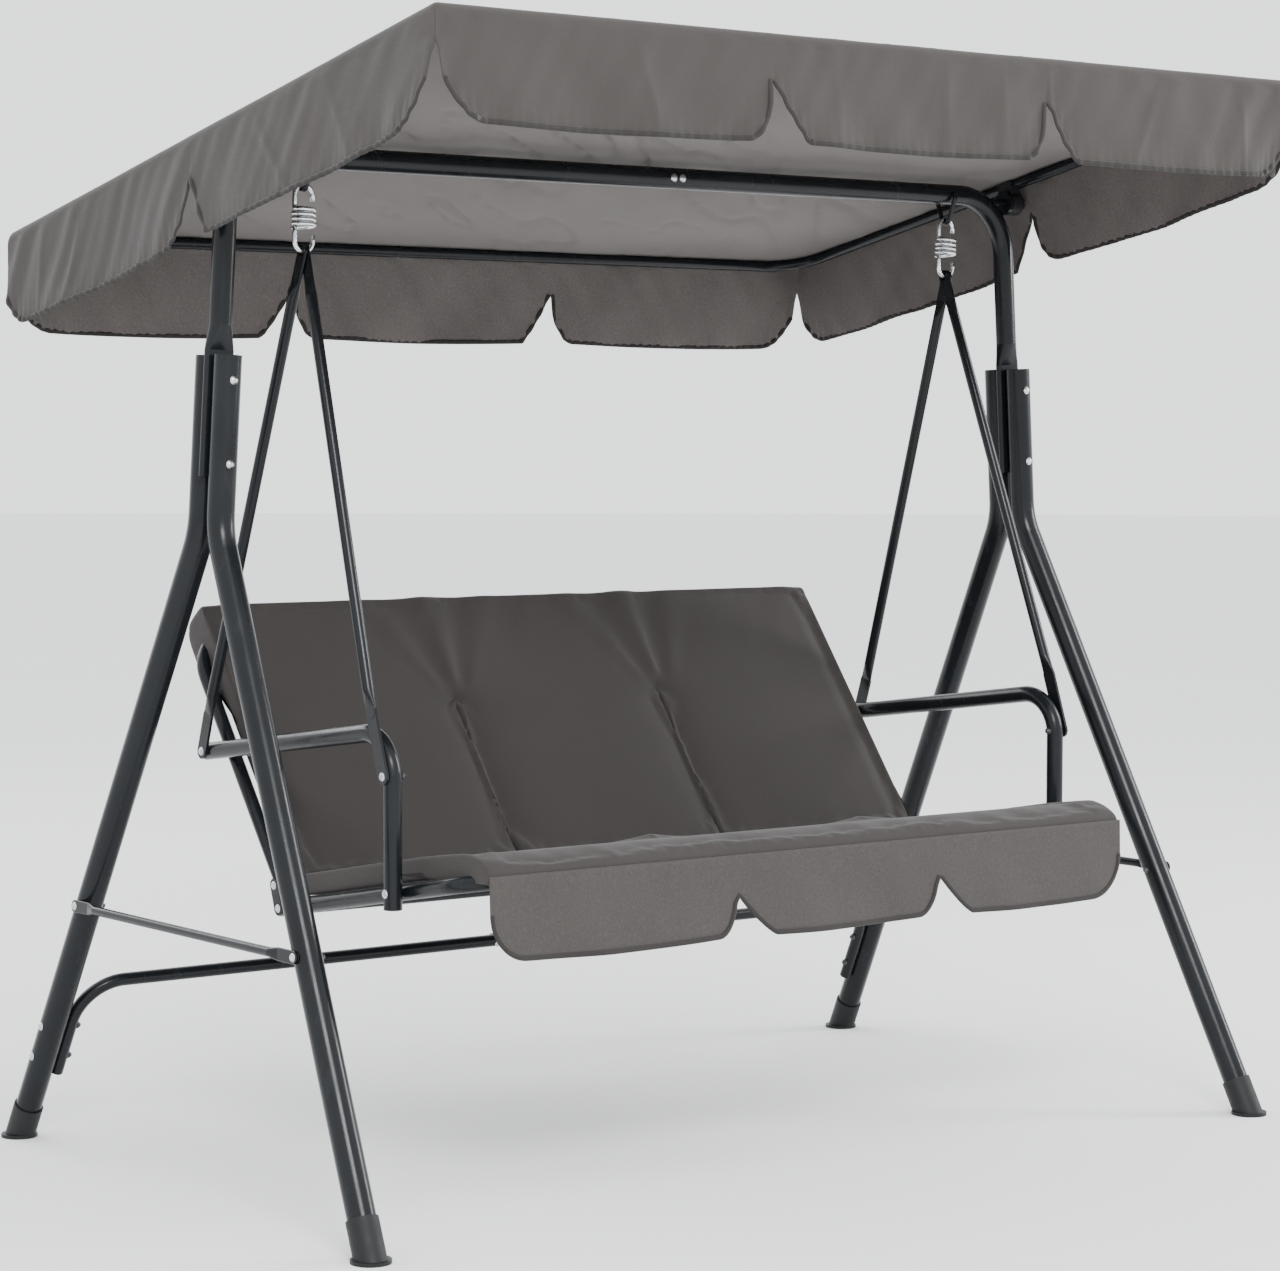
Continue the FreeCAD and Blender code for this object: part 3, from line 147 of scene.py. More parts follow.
def shade(colour, factor):
    return tuple(channel * factor for channel in colour)


def powder_coat():
    """Satin black powder coat on steel: slight orange peel, rubbed and dusty in places."""
    colour = (0.0060, 0.0070, 0.0082)
    made = Finish("powder_coated_steel", Specular_IOR_Level=0.2)
    patches = made.noise(0.11, 4)
    scuffs = made.noise(0.018, 6, stretch=(1, 1, 0.2))
    tint = made.blend(made.spread(patches, 0, 1), colour, shade(colour, 1.55))
    tint = made.blend(made.spread(scuffs, 0, 0.10, 0.62, 0.8), tint, (0.06, 0.062, 0.066))
    peel = made.bump(made.noise(0.0022, 2), 0.00012, 0.55)
    return made.wire(tint, made.spread(scuffs, 0.17, 0.29), made.bump(patches, 0.0008, 0.1, peel))


def moulded_plastic():
    """Black injection-moulded plastic with a fine spark-eroded grain."""
    colour = (0.008, 0.008, 0.009)
    made = Finish("moulded_plastic", Specular_IOR_Level=0.25)
    dust = made.noise(0.03, 5)
    tint = made.blend(made.spread(dust, 0, 1, 0.4, 0.75), colour, shade(colour, 1.5))
    grain = made.bump(made.noise(0.0011, 3), 0.00018, 0.6)
    return made.wire(tint, made.spread(dust, 0.42, 0.6), grain)


def zinc(name, light, dull, roughness):
    """Zinc-plated steel, bright where it was polished and cloudy elsewhere."""
    made = Finish(name, Metallic=1.0)
    cloud = made.noise(0.006, 4)
    lines = made.noise(0.0015, 2, stretch=(1, 1, 6))
    tint = made.blend(made.spread(cloud, 0, 1), light, dull)
    rough = made.spread(cloud, roughness, roughness + 0.16)
    return made.wire(tint, rough, made.bump(lines, 0.00006, 0.5))


def black_nuts():
    """Blackened caps over the nuts."""
    colour = (0.014, 0.014, 0.015)
    made = Finish("blackened_nuts", Coat_Weight=0.2, Coat_Roughness=0.2)
    worn = made.noise(0.004, 4)
    tint = made.blend(made.spread(worn, 0, 1, 0.45, 0.75), colour, shade(colour, 3.5))
    return made.wire(tint, made.spread(worn, 0.3, 0.5), made.bump(worn, 0.0002, 0.4))


def fabric(name, colour, thread=0.9 * MM, sheen=0.12, soft=0.055):
    """Woven polyester: a fine weave, faint slubs, and broad fading."""
    made = Finish(name, Sheen_Weight=sheen, Sheen_Roughness=0.45, Specular_IOR_Level=0.22)
    fading = made.noise(0.22, 3)
    slubs = made.noise(0.0035, 3, stretch=(1, 0.25, 1))
    weave = made.weave(thread)
    tint = made.blend(made.spread(fading, 0, 1), shade(colour, 1 - soft), shade(colour, 1 + soft))
    tint = made.blend(made.spread(slubs, 0, 0.22, 0.45, 0.75), tint, shade(colour, 1.25))
    tint = made.blend(made.spread(weave, 0.12, 0, 0.9, 2.1), tint, shade(colour, 0.6))
    ripple = made.bump(made.noise(0.05, 3), 0.0016, 0.35)
    threads = made.bump(weave, 0.00012, 0.35, ripple)
    return made.wire(tint, made.spread(slubs, 0.8, 0.93), threads)


def coated_back(name, colour):
    """The pebbled coating on a cloth's back, with pale flecks."""
    made = Finish(name, Sheen_Weight=0.1, Sheen_Roughness=0.4, Specular_IOR_Level=0.3)
    fading = made.noise(0.09, 4)
    cells = made.grain(2.6 * MM)
    flecks = made.noise(0.0034, 3)
    tint = made.blend(made.spread(fading, 0, 1), shade(colour, 0.88), shade(colour, 1.1))
    tint = made.blend(made.spread(flecks, 0, 0.34, 0.54, 0.72), tint, shade(colour, 1.7))
    tint = made.blend(made.spread(flecks, 0.30, 0, 0.34, 0.46), tint, shade(colour, 0.6))
    pebbles = made.bump(cells, 0.0006, 0.45)
    return made.wire(tint, made.spread(fading, 0.68, 0.85), pebbles)


def sling_cloth():
    """Open black textilene."""
    colour = (0.016, 0.016, 0.017)
    made = Finish("sling_textilene", Specular_IOR_Level=0.35)
    weave = made.weave(2.2 * MM)
    dust = made.noise(0.06, 4)
    tint = made.blend(made.spread(weave, 0, 1, 0.6, 2.4), shade(colour, 0.5), shade(colour, 1.9))
    return made.wire(tint, made.spread(dust, 0.5, 0.7), made.bump(weave, 0.0005, 0.7))


FABRIC = (0.0415, 0.0366, 0.0345)
FINISHES = {
    "black_steel": powder_coat(),
    "black_plastic": moulded_plastic(),
    "zinc_wire": zinc("bright_zinc", (0.80, 0.81, 0.82), (0.55, 0.56, 0.58), 0.16),
    "zinc_fasteners": zinc("zinc_plate", (0.66, 0.66, 0.67), (0.42, 0.42, 0.43), 0.28),
    "black_nuts": black_nuts(),
    "canopy_fabric": fabric("canopy_polyester", FABRIC),
    "cushion_fabric": fabric("cushion_polyester", shade(FABRIC, 0.74), thread=1.1 * MM),
    "sling_fabric": sling_cloth(),
}
COATED = coated_back("coated_cloth_back", shade(FABRIC, 2.45))
SKIRT_CLOTH = coated_back("skirt_cloth", shade(FABRIC, 1.03))
UNDERSIDE = fabric("canopy_underside", shade(FABRIC, 2.7), sheen=0.1)
ROLL_CLOTH = fabric("seat_polyester", shade(FABRIC, 0.85), thread=1.1 * MM)
BINDING = fabric("edge_binding", shade(FABRIC, 0.6), thread=0.7 * MM)


def dress_cad_nodes():
    """Every CAD node gets the finish of its slot in the record."""
    for row in frame["record"]["subparts"]:
        mesh = frame["nodes"][row["node"]].data
        mesh.materials.clear()
        mesh.materials.append(FINISHES[row["material_slot"]])


# -------------------------------------------------------------------------------- mesh building

def new_piece(name, points, faces, materials, indices=None):
    mesh = bpy.data.meshes.new(name)
    mesh.from_pydata([tuple(point) for point in points], [], faces)
    for material in materials:
        mesh.materials.append(material)
    if indices is not None:
        mesh.polygons.foreach_set("material_index", indices)
    mesh.polygons.foreach_set("use_smooth", [True] * len(mesh.polygons))
    mesh.update()
    piece = bpy.data.objects.new(name, mesh)
    bpy.context.scene.collection.objects.link(piece)
    return piece


def grid_faces(rows, columns, closed=False, start=0, flip=False):
    """Quads between a grid's points, numbered row by row; closed joins the last column to the first."""
    faces = []
    for row in range(rows - 1):
        for column in range(columns if closed else columns - 1):
            following = (column + 1) % columns
            near, far = start + row * columns, start + (row + 1) * columns
            face = (near + column, near + following, far + following, far + column)
            faces.append(face[::-1] if flip else face)
    return faces


def zip_faces(upper, lower):
    """Triangles between two lines of (place along, point number) with different spacing."""
    faces, one, two = [], 0, 0
    while one < len(upper) - 1 or two < len(lower) - 1:
        up_next = upper[one + 1][0] if one < len(upper) - 1 else math.inf
        low_next = lower[two + 1][0] if two < len(lower) - 1 else math.inf
        if up_next <= low_next:
            faces.append((upper[one][1], lower[two][1], upper[one + 1][1]))
            one += 1
        else:
            faces.append((upper[one][1], lower[two][1], lower[two + 1][1]))
            two += 1
    return faces


def swept(name, centres, across, up, half_width, half_height, material, sides=10):
    """A closed tube along centres; across and up are each section's two axes."""
    points = []
    for centre, side, rise in zip(centres, across, up):
        for number in range(sides):
            angle = 2 * math.pi * number / sides
            points.append(centre + side * (half_width * math.cos(angle))
                          + rise * (half_height * math.sin(angle)))
    faces = grid_faces(len(centres), sides, closed=True)
    faces.append(tuple(reversed(range(sides))))
    faces.append(tuple(range(len(points) - sides, len(points))))
    return new_piece(name, points, faces, [material])


def tangents(points):
    return [(points[min(number + 1, len(points) - 1)] - points[max(number - 1, 0)]).normalized()
            for number in range(len(points))]


def round_wire(name, points, radius, material, sides=16):
    """A round wire along points, without twist."""
    along = tangents(points)
    side = along[0].orthogonal().normalized()
    across, up = [], []
    for direction in along:
        side = (side - direction * side.dot(direction)).normalized()
        across.append(side)
        up.append(direction.cross(side))
    return swept(name, points, across, up, radius, radius, material, sides)


def apply_modifiers(piece):
    shown = piece.evaluated_get(bpy.context.evaluated_depsgraph_get())
    mesh = bpy.data.meshes.new_from_object(shown)
    piece.modifiers.clear()
    piece.data = mesh


def thicken(piece, thickness, inner=0):
    """Gives a sheet its thickness inwards; inner is the material number of its inner face."""
    solid = piece.modifiers.new("cloth", "SOLIDIFY")
    solid.thickness = thickness
    solid.offset = -1
    solid.use_even_offset = True
    solid.material_offset = inner
    apply_modifiers(piece)


def weld(piece, distance=0.05 * MM):
    welding = piece.modifiers.new("weld", "WELD")
    welding.merge_threshold = distance
    apply_modifiers(piece)


def smooth_step(share):
    share = min(max(share, 0.0), 1.0)
    return share * share * (3 - 2 * share)


def wrinkle(along, across, seed, fineness=1.0):
    """Soft folds from -1 to 1; along runs with the folds, in metres."""
    return noise.noise(Vector((along * 2.2 * fineness, across * 15 * fineness, seed)))


def crease(along, place, width):
    """A sharp fold line, 1 on the line and 0 away from it."""
    return math.exp(-abs(along - place) / width)


# ------------------------------------------------------------------------------------- springs

SPRING_WIRE = 6.5 * MM
SPRING_TURNS = 4
SPRING_PITCH = 6.7 * MM
SPRING_TIP = 8 * MM
SPRING_LEAD = 5 * MM
ARC_STEPS = 14
COIL_STEPS = 24


def spring_route(low, high):
    """Upper loop, coils and lower loop in one line; the loops stand in the plane across the seat."""
    centre = (low + high) / 2
    radius = (high.x - low.x - SPRING_WIRE) / 2
    top = high.z - SPRING_WIRE / 2 - radius
    bottom = low.z + SPRING_WIRE / 2 + radius
    half = SPRING_TURNS * SPRING_PITCH / 2
    route = [Vector((radius, 0, top - SPRING_TIP))]
    route += [Vector((radius * math.cos(angle), 0, top + radius * math.sin(angle)))
              for angle in np.linspace(0, math.pi, ARC_STEPS)]
    route.append(Vector((-radius, 0, centre.z + half + SPRING_LEAD)))
    steps = COIL_STEPS * SPRING_TURNS
    for step in range(steps + 1):
        angle = math.pi + 2 * math.pi * SPRING_TURNS * step / steps
        height = centre.z + half - 2 * half * step / steps
        route.append(Vector((radius * math.cos(angle), radius * math.sin(angle), height)))
    route.append(Vector((-radius, 0, centre.z - half - SPRING_LEAD)))
    route += [Vector((radius * math.cos(angle), 0, bottom - radius * math.sin(angle)))
              for angle in np.linspace(math.pi, 0, ARC_STEPS)]
    route.append(Vector((radius, 0, bottom + SPRING_TIP)))
    return [point + Vector((centre.x, centre.y, 0)) for point in route]


def make_springs():
    """The springs stretch between the hooks and the hangers."""
    for side in SIDES:
        low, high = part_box(f"spring_{side}")
        piece = round_wire(f"coil_spring_{side}", spring_route(low, high), SPRING_WIRE / 2,
                           FINISHES["zinc_wire"])
        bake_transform(piece)
        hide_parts(f"spring_{side}")


# -------------------------------------------------------------------------------------- canopy

CLOTH = 1.1 * MM
SHOULDER = 12 * MM
BINDING_WIDTH = 8 * MM
BINDING_THICKNESS = 3.8 * MM
GATHER_PITCH = 17 * MM
SLIT_START = 24 * MM
VALANCE_DEPTH = 137 * MM
EDGE_STEP = 6 * MM
TOP_STEP = 9 * MM
NOTCH_STATIONS = 25
CORNER_STATIONS = 14
SHOULDER_STATIONS = 6
CLOSEST_STATIONS = 0.8 * MM
BAR_CLEARANCE = 1.2 * MM
# Heights of the top cloth's shapes: the dip of each bay, the hollow over all, and three kinds of fold.
BAY_DIP = 13 * MM
HOLLOW = 4 * MM
DRAG_FOLD, FINE_FOLD, RIDGE_FOLD = 6.5, 1.8, 8.0
# Heights of a valance's shapes, at its lower edge.
FLARE = 7 * MM
HANGING_FOLD = 19 * MM
SLANTING_FOLD = 11 * MM
FINE_SLANT = 3.5 * MM
CREASE_SCALE = 1.5
CREASE_WIDTH = 9 * MM
PUCKER_HEIGHT = 1.3 * MM
PUCKER_REACH = 16 * MM
SLIT_SLOPE, SLIT_REACH = 0.16, 0.12
CORNER_REACH = 40 * MM
# Pressed-in fold lines of each valance: place along it, height in millimetres, lean.
CREASES = {
    "front": ((0.30, 2.2, -0.25), (0.63, 1.4, 0), (0.83, 2.0, 0), (0.93, 1.8, 0), (1.02, 1.6, 0),
              (1.24, 2.4, 0.5), (1.40, 1.8, 0)),
    "right": ((0.3, 1.8, 0.2), (0.8, 2.0, -0.3)),
    "rear": ((0.25, 1.6, 0.2), (0.72, 2.2, -0.3), (0.98, 1.6, 0), (1.3, 1.8, 0.4)),
    "left": ((0.12, 2.2, 0.1), (0.24, 2.0, 0.35), (0.72, 2.6, -0.8), (0.9, 1.6, -0.6)),
}


class Scallops:
    """The lower edge of a skirt: its depth at each distance along it."""

    def __init__(self, length, depth, notches, rise, flanks, corner, bow=5 * MM):
        self.length, self.depth, self.notches = length, depth, notches
        self.rise, self.flanks, self.corner, self.bow = rise, flanks, corner, bow

    def depth_at(self, along):
        ends = (0, *self.notches, self.length)
        scallop = next(number for number in range(len(ends) - 1) if along <= ends[number + 1] + 1e-9)
        share = (along - ends[scallop]) / (ends[scallop + 1] - ends[scallop])
        depth = self.depth - self.bow * (1 - math.sin(math.pi * min(share, 1.0)))
        for place in self.notches:
            if along < place:
                reach = max(0.0, 1 - (place - along) / self.flanks[0])
                depth -= self.rise * (1 - math.sqrt(1 - reach * reach))
            else:
                reach = max(0.0, 1 - (along - place) / self.flanks[1])
                depth -= self.rise * reach ** 1.3
        inset = min(along, self.length - along)
        if inset < self.corner:
            reach = 1 - inset / self.corner
            depth -= self.corner * (1 - math.sqrt(max(0.0, 1 - reach * reach)))
        return depth

    def stations(self, step):
        """Places along the edge, closer together where it turns."""
        places = set(np.linspace(0, self.length, round(self.length / step) + 1).round(6))
        for place in self.notches:
            places |= set(np.linspace(place - self.flanks[0], place + self.flanks[1],
                                      NOTCH_STATIONS).round(6))
        for end in (0, 1):
            bend = [self.corner * (1 - math.cos(angle))
                    for angle in np.linspace(0, math.pi / 2, CORNER_STATIONS)]
            places |= {round(abs(end * self.length - inset), 6) for inset in bend}
        ordered = sorted(places)
        kept = [ordered[0]]
        for place in ordered[1:]:
            if place - kept[-1] > CLOSEST_STATIONS:
                kept.append(place)
        kept[-1] = self.length
        return kept


class CanopyPlane:
    """The sloping plane of the canopy frame, read from its front and rear bars."""

    def __init__(self):
        front, rear = middle("canopy_bar_front"), middle("canopy_bar_rear")
        self.along = (rear - front).normalized()
        self.up = Vector((1, 0, 0)).cross(self.along)
        self.centre = (front + rear) / 2
        self.half_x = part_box("canopy_top")[1].x
        self.half_y = (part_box("valance_rear")[1].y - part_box("valance_front")[0].y) / 2 / self.along.y
        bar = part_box("canopy_bar_front")
        self.rise = (bar[1].z - bar[0].z) / 2 + BAR_CLEARANCE

    def point(self, x, y, height):
        return self.centre + Vector((x, 0, 0)) + self.along * y + self.up * height


def edge_drop(distance):
    """How far the cloth has rolled down at a distance from its edge."""
    if distance >= SHOULDER:
        return 0.0
    return SHOULDER - math.sqrt(SHOULDER ** 2 - (SHOULDER - distance) ** 2)


def top_height(plane, x, y):
    """The top cloth's height over the bars: two shallow bays, drag lines and rolled edges."""
    across = x / plane.half_x
    along = y / plane.half_y
    inside = max(0.0, 1 - across ** 6) * max(0.0, 1 - along ** 6)
    bays = BAY_DIP * math.sin(math.pi * along) ** 2 * (1 - across ** 4)
    hollow = HOLLOW * (1 - along * along) * (1 - across * across)
    drag = wrinkle(0.72 * x + 0.69 * y, 0.69 * x - 0.72 * y, 4.0)
    fine = wrinkle(0.55 * x + 0.83 * y, 0.83 * x - 0.55 * y, 9.0, 2.1)
    where = 0.55 + 0.45 * noise.noise(Vector((x * 2.5, y * 3.5, 2.0)))
    ridge = max(0.0, 1 - abs(drag) * 9) ** 2 * where
    folds = (DRAG_FOLD * drag + FINE_FOLD * fine + RIDGE_FOLD * ridge) * MM * inside
    roll = edge_drop(plane.half_x - abs(x)) + edge_drop(plane.half_y - abs(y))
    return plane.rise - bays - hollow + folds - roll


def rolled_stations(half, step):
    """Places from -half to half, with a few more round each rolled edge."""
    flat = half - SHOULDER
    edge = [half - SHOULDER * (1 - math.cos(angle))
            for angle in np.linspace(math.pi / 2, 0, SHOULDER_STATIONS)]
    inner = list(np.linspace(-flat, flat, round(2 * flat / step) + 1))
    return [-place for place in reversed(edge[1:])] + inner + edge[1:]


def rim_points(plane, name, places):
    """The rim of the top cloth along one side, at those distances from its first corner."""
    x, y = plane.half_x, plane.half_y
    first, last = {"front": ((-x, -y), (x, -y)), "right": ((x, -y), (x, y)),
                   "rear": ((x, y), (-x, y)), "left": ((-x, y), (-x, -y))}[name]
    line = []
    for place in places:
        share = place / places[-1]
        at = [one + (two - one) * share for one, two in zip(first, last)]
        line.append(plane.point(*at, top_height(plane, *at)))
    return line


class Valance:
    """One hanging side of the canopy, from the rim of the top cloth down to its scalloped edge."""

    ROWS = 26

    def __init__(self, rim, outward, scallops, places, seed, creases):
        self.rim, self.outward, self.scallops, self.places = rim, outward, scallops, places
        self.seed, self.creases = seed, creases
        self.along = (rim[-1] - rim[0]).normalized()

    def bulge(self, along, depth, full):
        """How far the cloth stands out from its rim's plane."""
        share = depth / self.scallops.depth
        folds = HANGING_FOLD * share * noise.noise(Vector((along * 4.3, share * 0.7, self.seed)))
        slant = SLANTING_FOLD * share * wrinkle(along * 0.6 + depth, along * 0.8 - depth * 0.5,
                                                self.seed, 0.8)
        slant += FINE_SLANT * wrinkle(depth - along * 0.4, along + depth * 0.6, self.seed + 5, 1.7)
        flare = FLARE * share
        sharp = sum(CREASE_SCALE * size * MM * crease(along + lean * depth, place, CREASE_WIDTH)
                    for place, size, lean in self.creases) * math.sin(math.pi * min(share, 1) * 0.8)
        gather = math.exp(-(full - depth) / PUCKER_REACH) * PUCKER_HEIGHT
        pucker = gather * math.sin(2 * math.pi * along / GATHER_PITCH
                                   + 2.5 * noise.noise(Vector((along * 9, 0, self.seed))))
        return flare + folds + slant + sharp + pucker

    def point(self, start, along, depth, full):
        """A point below the rim point start; the slit at each end opens downwards."""
        inset = min(along, self.scallops.length - along)
        toward = 1 if along < self.scallops.length / 2 else -1
        opening = max(0.0, depth - SLIT_START) * SLIT_SLOPE * max(0.0, 1 - inset / SLIT_REACH)
        free = smooth_step((depth - SLIT_START) / (20 * MM))
        hold = 1 - (1 - smooth_step(inset / CORNER_REACH)) * (1 - free)
        outward = self.outward * self.bulge(along, depth, full) * hold
        return start + outward + self.along * (toward * opening) + Vector((0, 0, -depth))

    def rows(self):
        """Rows of points below the rim, the last one along the scalloped edge."""
        rows = []
        for row in range(1, self.ROWS + 1):
            line = []
            for start, along in zip(self.rim, self.places):
                full = self.scallops.depth_at(along)
                line.append(self.point(start, along, row / self.ROWS * full, full))
            rows.append(line)
        return rows


def binding_strip(name, edge, outward):
    """The bound edge of a skirt: a flat tape folded over its last row of points."""
    along = tangents(edge)
    across, centres, normals = [], [], []
    for point, direction in zip(edge, along):
        inward = outward.cross(direction).normalized()
        across.append(inward)
        normals.append(direction.cross(inward).normalized())
        centres.append(point + inward * (BINDING_WIDTH / 2 - 1 * MM))
    return swept(name, centres, across, normals, BINDING_WIDTH / 2, BINDING_THICKNESS / 2, BINDING, 8)


def flat_area(edge):
    """The cloth in one skirt."""
    places = edge.stations(EDGE_STEP)
    return sum((b - a) * (edge.depth_at(a) + edge.depth_at(b)) / 2 for a, b in zip(places, places[1:]))


def make_canopy():
    """One sheet: the top cloth rolls over the bars and runs down into four scalloped valances."""
    plane = CanopyPlane()
    xs, ys = rolled_stations(plane.half_x, TOP_STEP), rolled_stations(plane.half_y, TOP_STEP)
    points = [plane.point(x, y, top_height(plane, x, y)) for y in ys for x in xs]
    faces = grid_faces(len(ys), len(xs))
    outer = [1] * len(faces)
    across, last = len(xs), len(points) - 1
    borders = {
        "front": (range(0, across), xs, (0, -1, 0)),
        "right": (range(across - 1, last + 1, across), ys, (1, 0, 0)),
        "rear": (range(last, last - across, -1), xs, (0, 1, 0)),
        "left": (range(last - across + 1, -1, -across), ys, (-1, 0, 0)),
    }
    wide, deep = 2 * plane.half_x, 2 * plane.half_y
    long_edge = Scallops(wide, VALANCE_DEPTH, (wide * 0.345, wide * 0.672), 80 * MM,
                         (40 * MM, 58 * MM), 62 * MM)
    short_edge = Scallops(deep, VALANCE_DEPTH, (deep * 0.48,), 88 * MM, (64 * MM, 42 * MM), 62 * MM)
    area = wide * deep + 2 * flat_area(long_edge) + 2 * flat_area(short_edge)
    bindings = []
    for seed, (name, (border, line, outward)) in enumerate(borders.items(), start=11):
        edge = long_edge if name in ("front", "rear") else short_edge
        places = edge.stations(EDGE_STEP)
        rim = rim_points(plane, name, places)
        rows = Valance(rim, Vector(outward), edge, places, seed, CREASES[name]).rows()
        start = len(points)
        points += [point for row in rows for point in row]
        upper = [(place - line[0], number) for place, number in zip(line, border)]
        lower = [(place, start + number) for number, place in enumerate(places)]
        made = zip_faces(upper, lower) + grid_faces(len(rows), len(rim), start=start, flip=True)
        faces += made
        outer += [0] * len(made)
        bindings.append(binding_strip(f"canopy_binding_{name}", rows[-1], Vector(outward)))
    cloth = FINISHES["canopy_fabric"]
    cover = new_piece("canopy_cover", points, faces, [cloth, cloth, COATED, UNDERSIDE], outer)
    weld(cover)
    thicken(cover, CLOTH, inner=2)
    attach(cover, "canopy")
    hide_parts("canopy_top", "valance_front", "valance_rear", "valance_left", "valance_right")
    for binding in bindings:
        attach(binding, "canopy")


# ------------------------------------------------------------------------------------ cushions

LOOP_STEP = 7 * MM


def outline(node):
    """The ordered (y, z) outline of a prism's left end, read from its CAD mesh."""
    mesh = frame["nodes"][node].data
    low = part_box(node)[0].x
    uses = {}
    for polygon in mesh.polygons:
        corners = [tuple(round(value, 6) for value in mesh.vertices[number].co)
                   for number in polygon.vertices]
        if all(abs(corner[0] - low) < 0.1 * MM for corner in corners):
            for one, two in zip(corners, corners[1:] + corners[:1]):
                key = frozenset((one[1:], two[1:]))
                uses[key] = uses.get(key, 0) + 1
    links = {}
    for key in (key for key, count in uses.items() if count == 1):
        one, two = key
        links.setdefault(one, []).append(two)
        links.setdefault(two, []).append(one)
    start = min(links)
    loop, before = [start], None
    while True:
        following = [point for point in links[loop[-1]] if point != before]
        before = loop[-1]
        if following[0] == start:
            break
        loop.append(following[0])
    loop = [Vector(point) for point in loop]
    turn = sum(a.x * b.y - b.x * a.y for a, b in zip(loop, loop[1:] + loop[:1]))
    return loop if turn > 0 else loop[::-1]


def rounded_loop(loop, step, cuts=3):
    """The outline with its corners cut round, as points one step apart."""
    for _ in range(cuts):
        cut = []
        for one, two in zip(loop, loop[1:] + loop[:1]):
            share = min(0.25, 9 * MM / (two - one).length)
            cut += [one.lerp(two, share), two.lerp(one, share)]
        loop = cut
    lengths = np.cumsum([0.0] + [(b - a).length for a, b in zip(loop, loop[1:] + loop[:1])])
    closed = loop + loop[:1]
    count = round(lengths[-1] / step)
    ys = np.interp(np.arange(count) * lengths[-1] / count, lengths, [point.x for point in closed])
    zs = np.interp(np.arange(count) * lengths[-1] / count, lengths, [point.y for point in closed])
    return [Vector(pair) for pair in zip(ys, zs)]


def loop_normals(loop):
    normals = []
    for number in range(len(loop)):
        direction = loop[(number + 1) % len(loop)] - loop[number - 1]
        normals.append(Vector((direction.y, -direction.x)).normalized())
    return normals


class SlingPlane:
    """The plane of a sling: along it in the frame's YZ plane, and out of it towards the sitter."""

    def __init__(self, node):
        corners = np.array([tuple(point) for point in outline(node)])
        self.centre = corners.mean(0)
        along = np.linalg.svd(corners - self.centre)[2][0]
        along = along if along[0] > 0 else -along
        self.along = along
        self.out = np.array((-along[1], along[0]))

    def extent(self, points):
        """The lowest and highest of points along the plane and out of it."""
        offsets = np.array([tuple(point) for point in points]) - self.centre
        return (offsets @ self.along).min(), (offsets @ self.along).max(), (offsets @ self.out).max()

    def local(self, point):
        offset = np.array(tuple(point)) - self.centre
        return float(offset @ self.along), float(offset @ self.out)


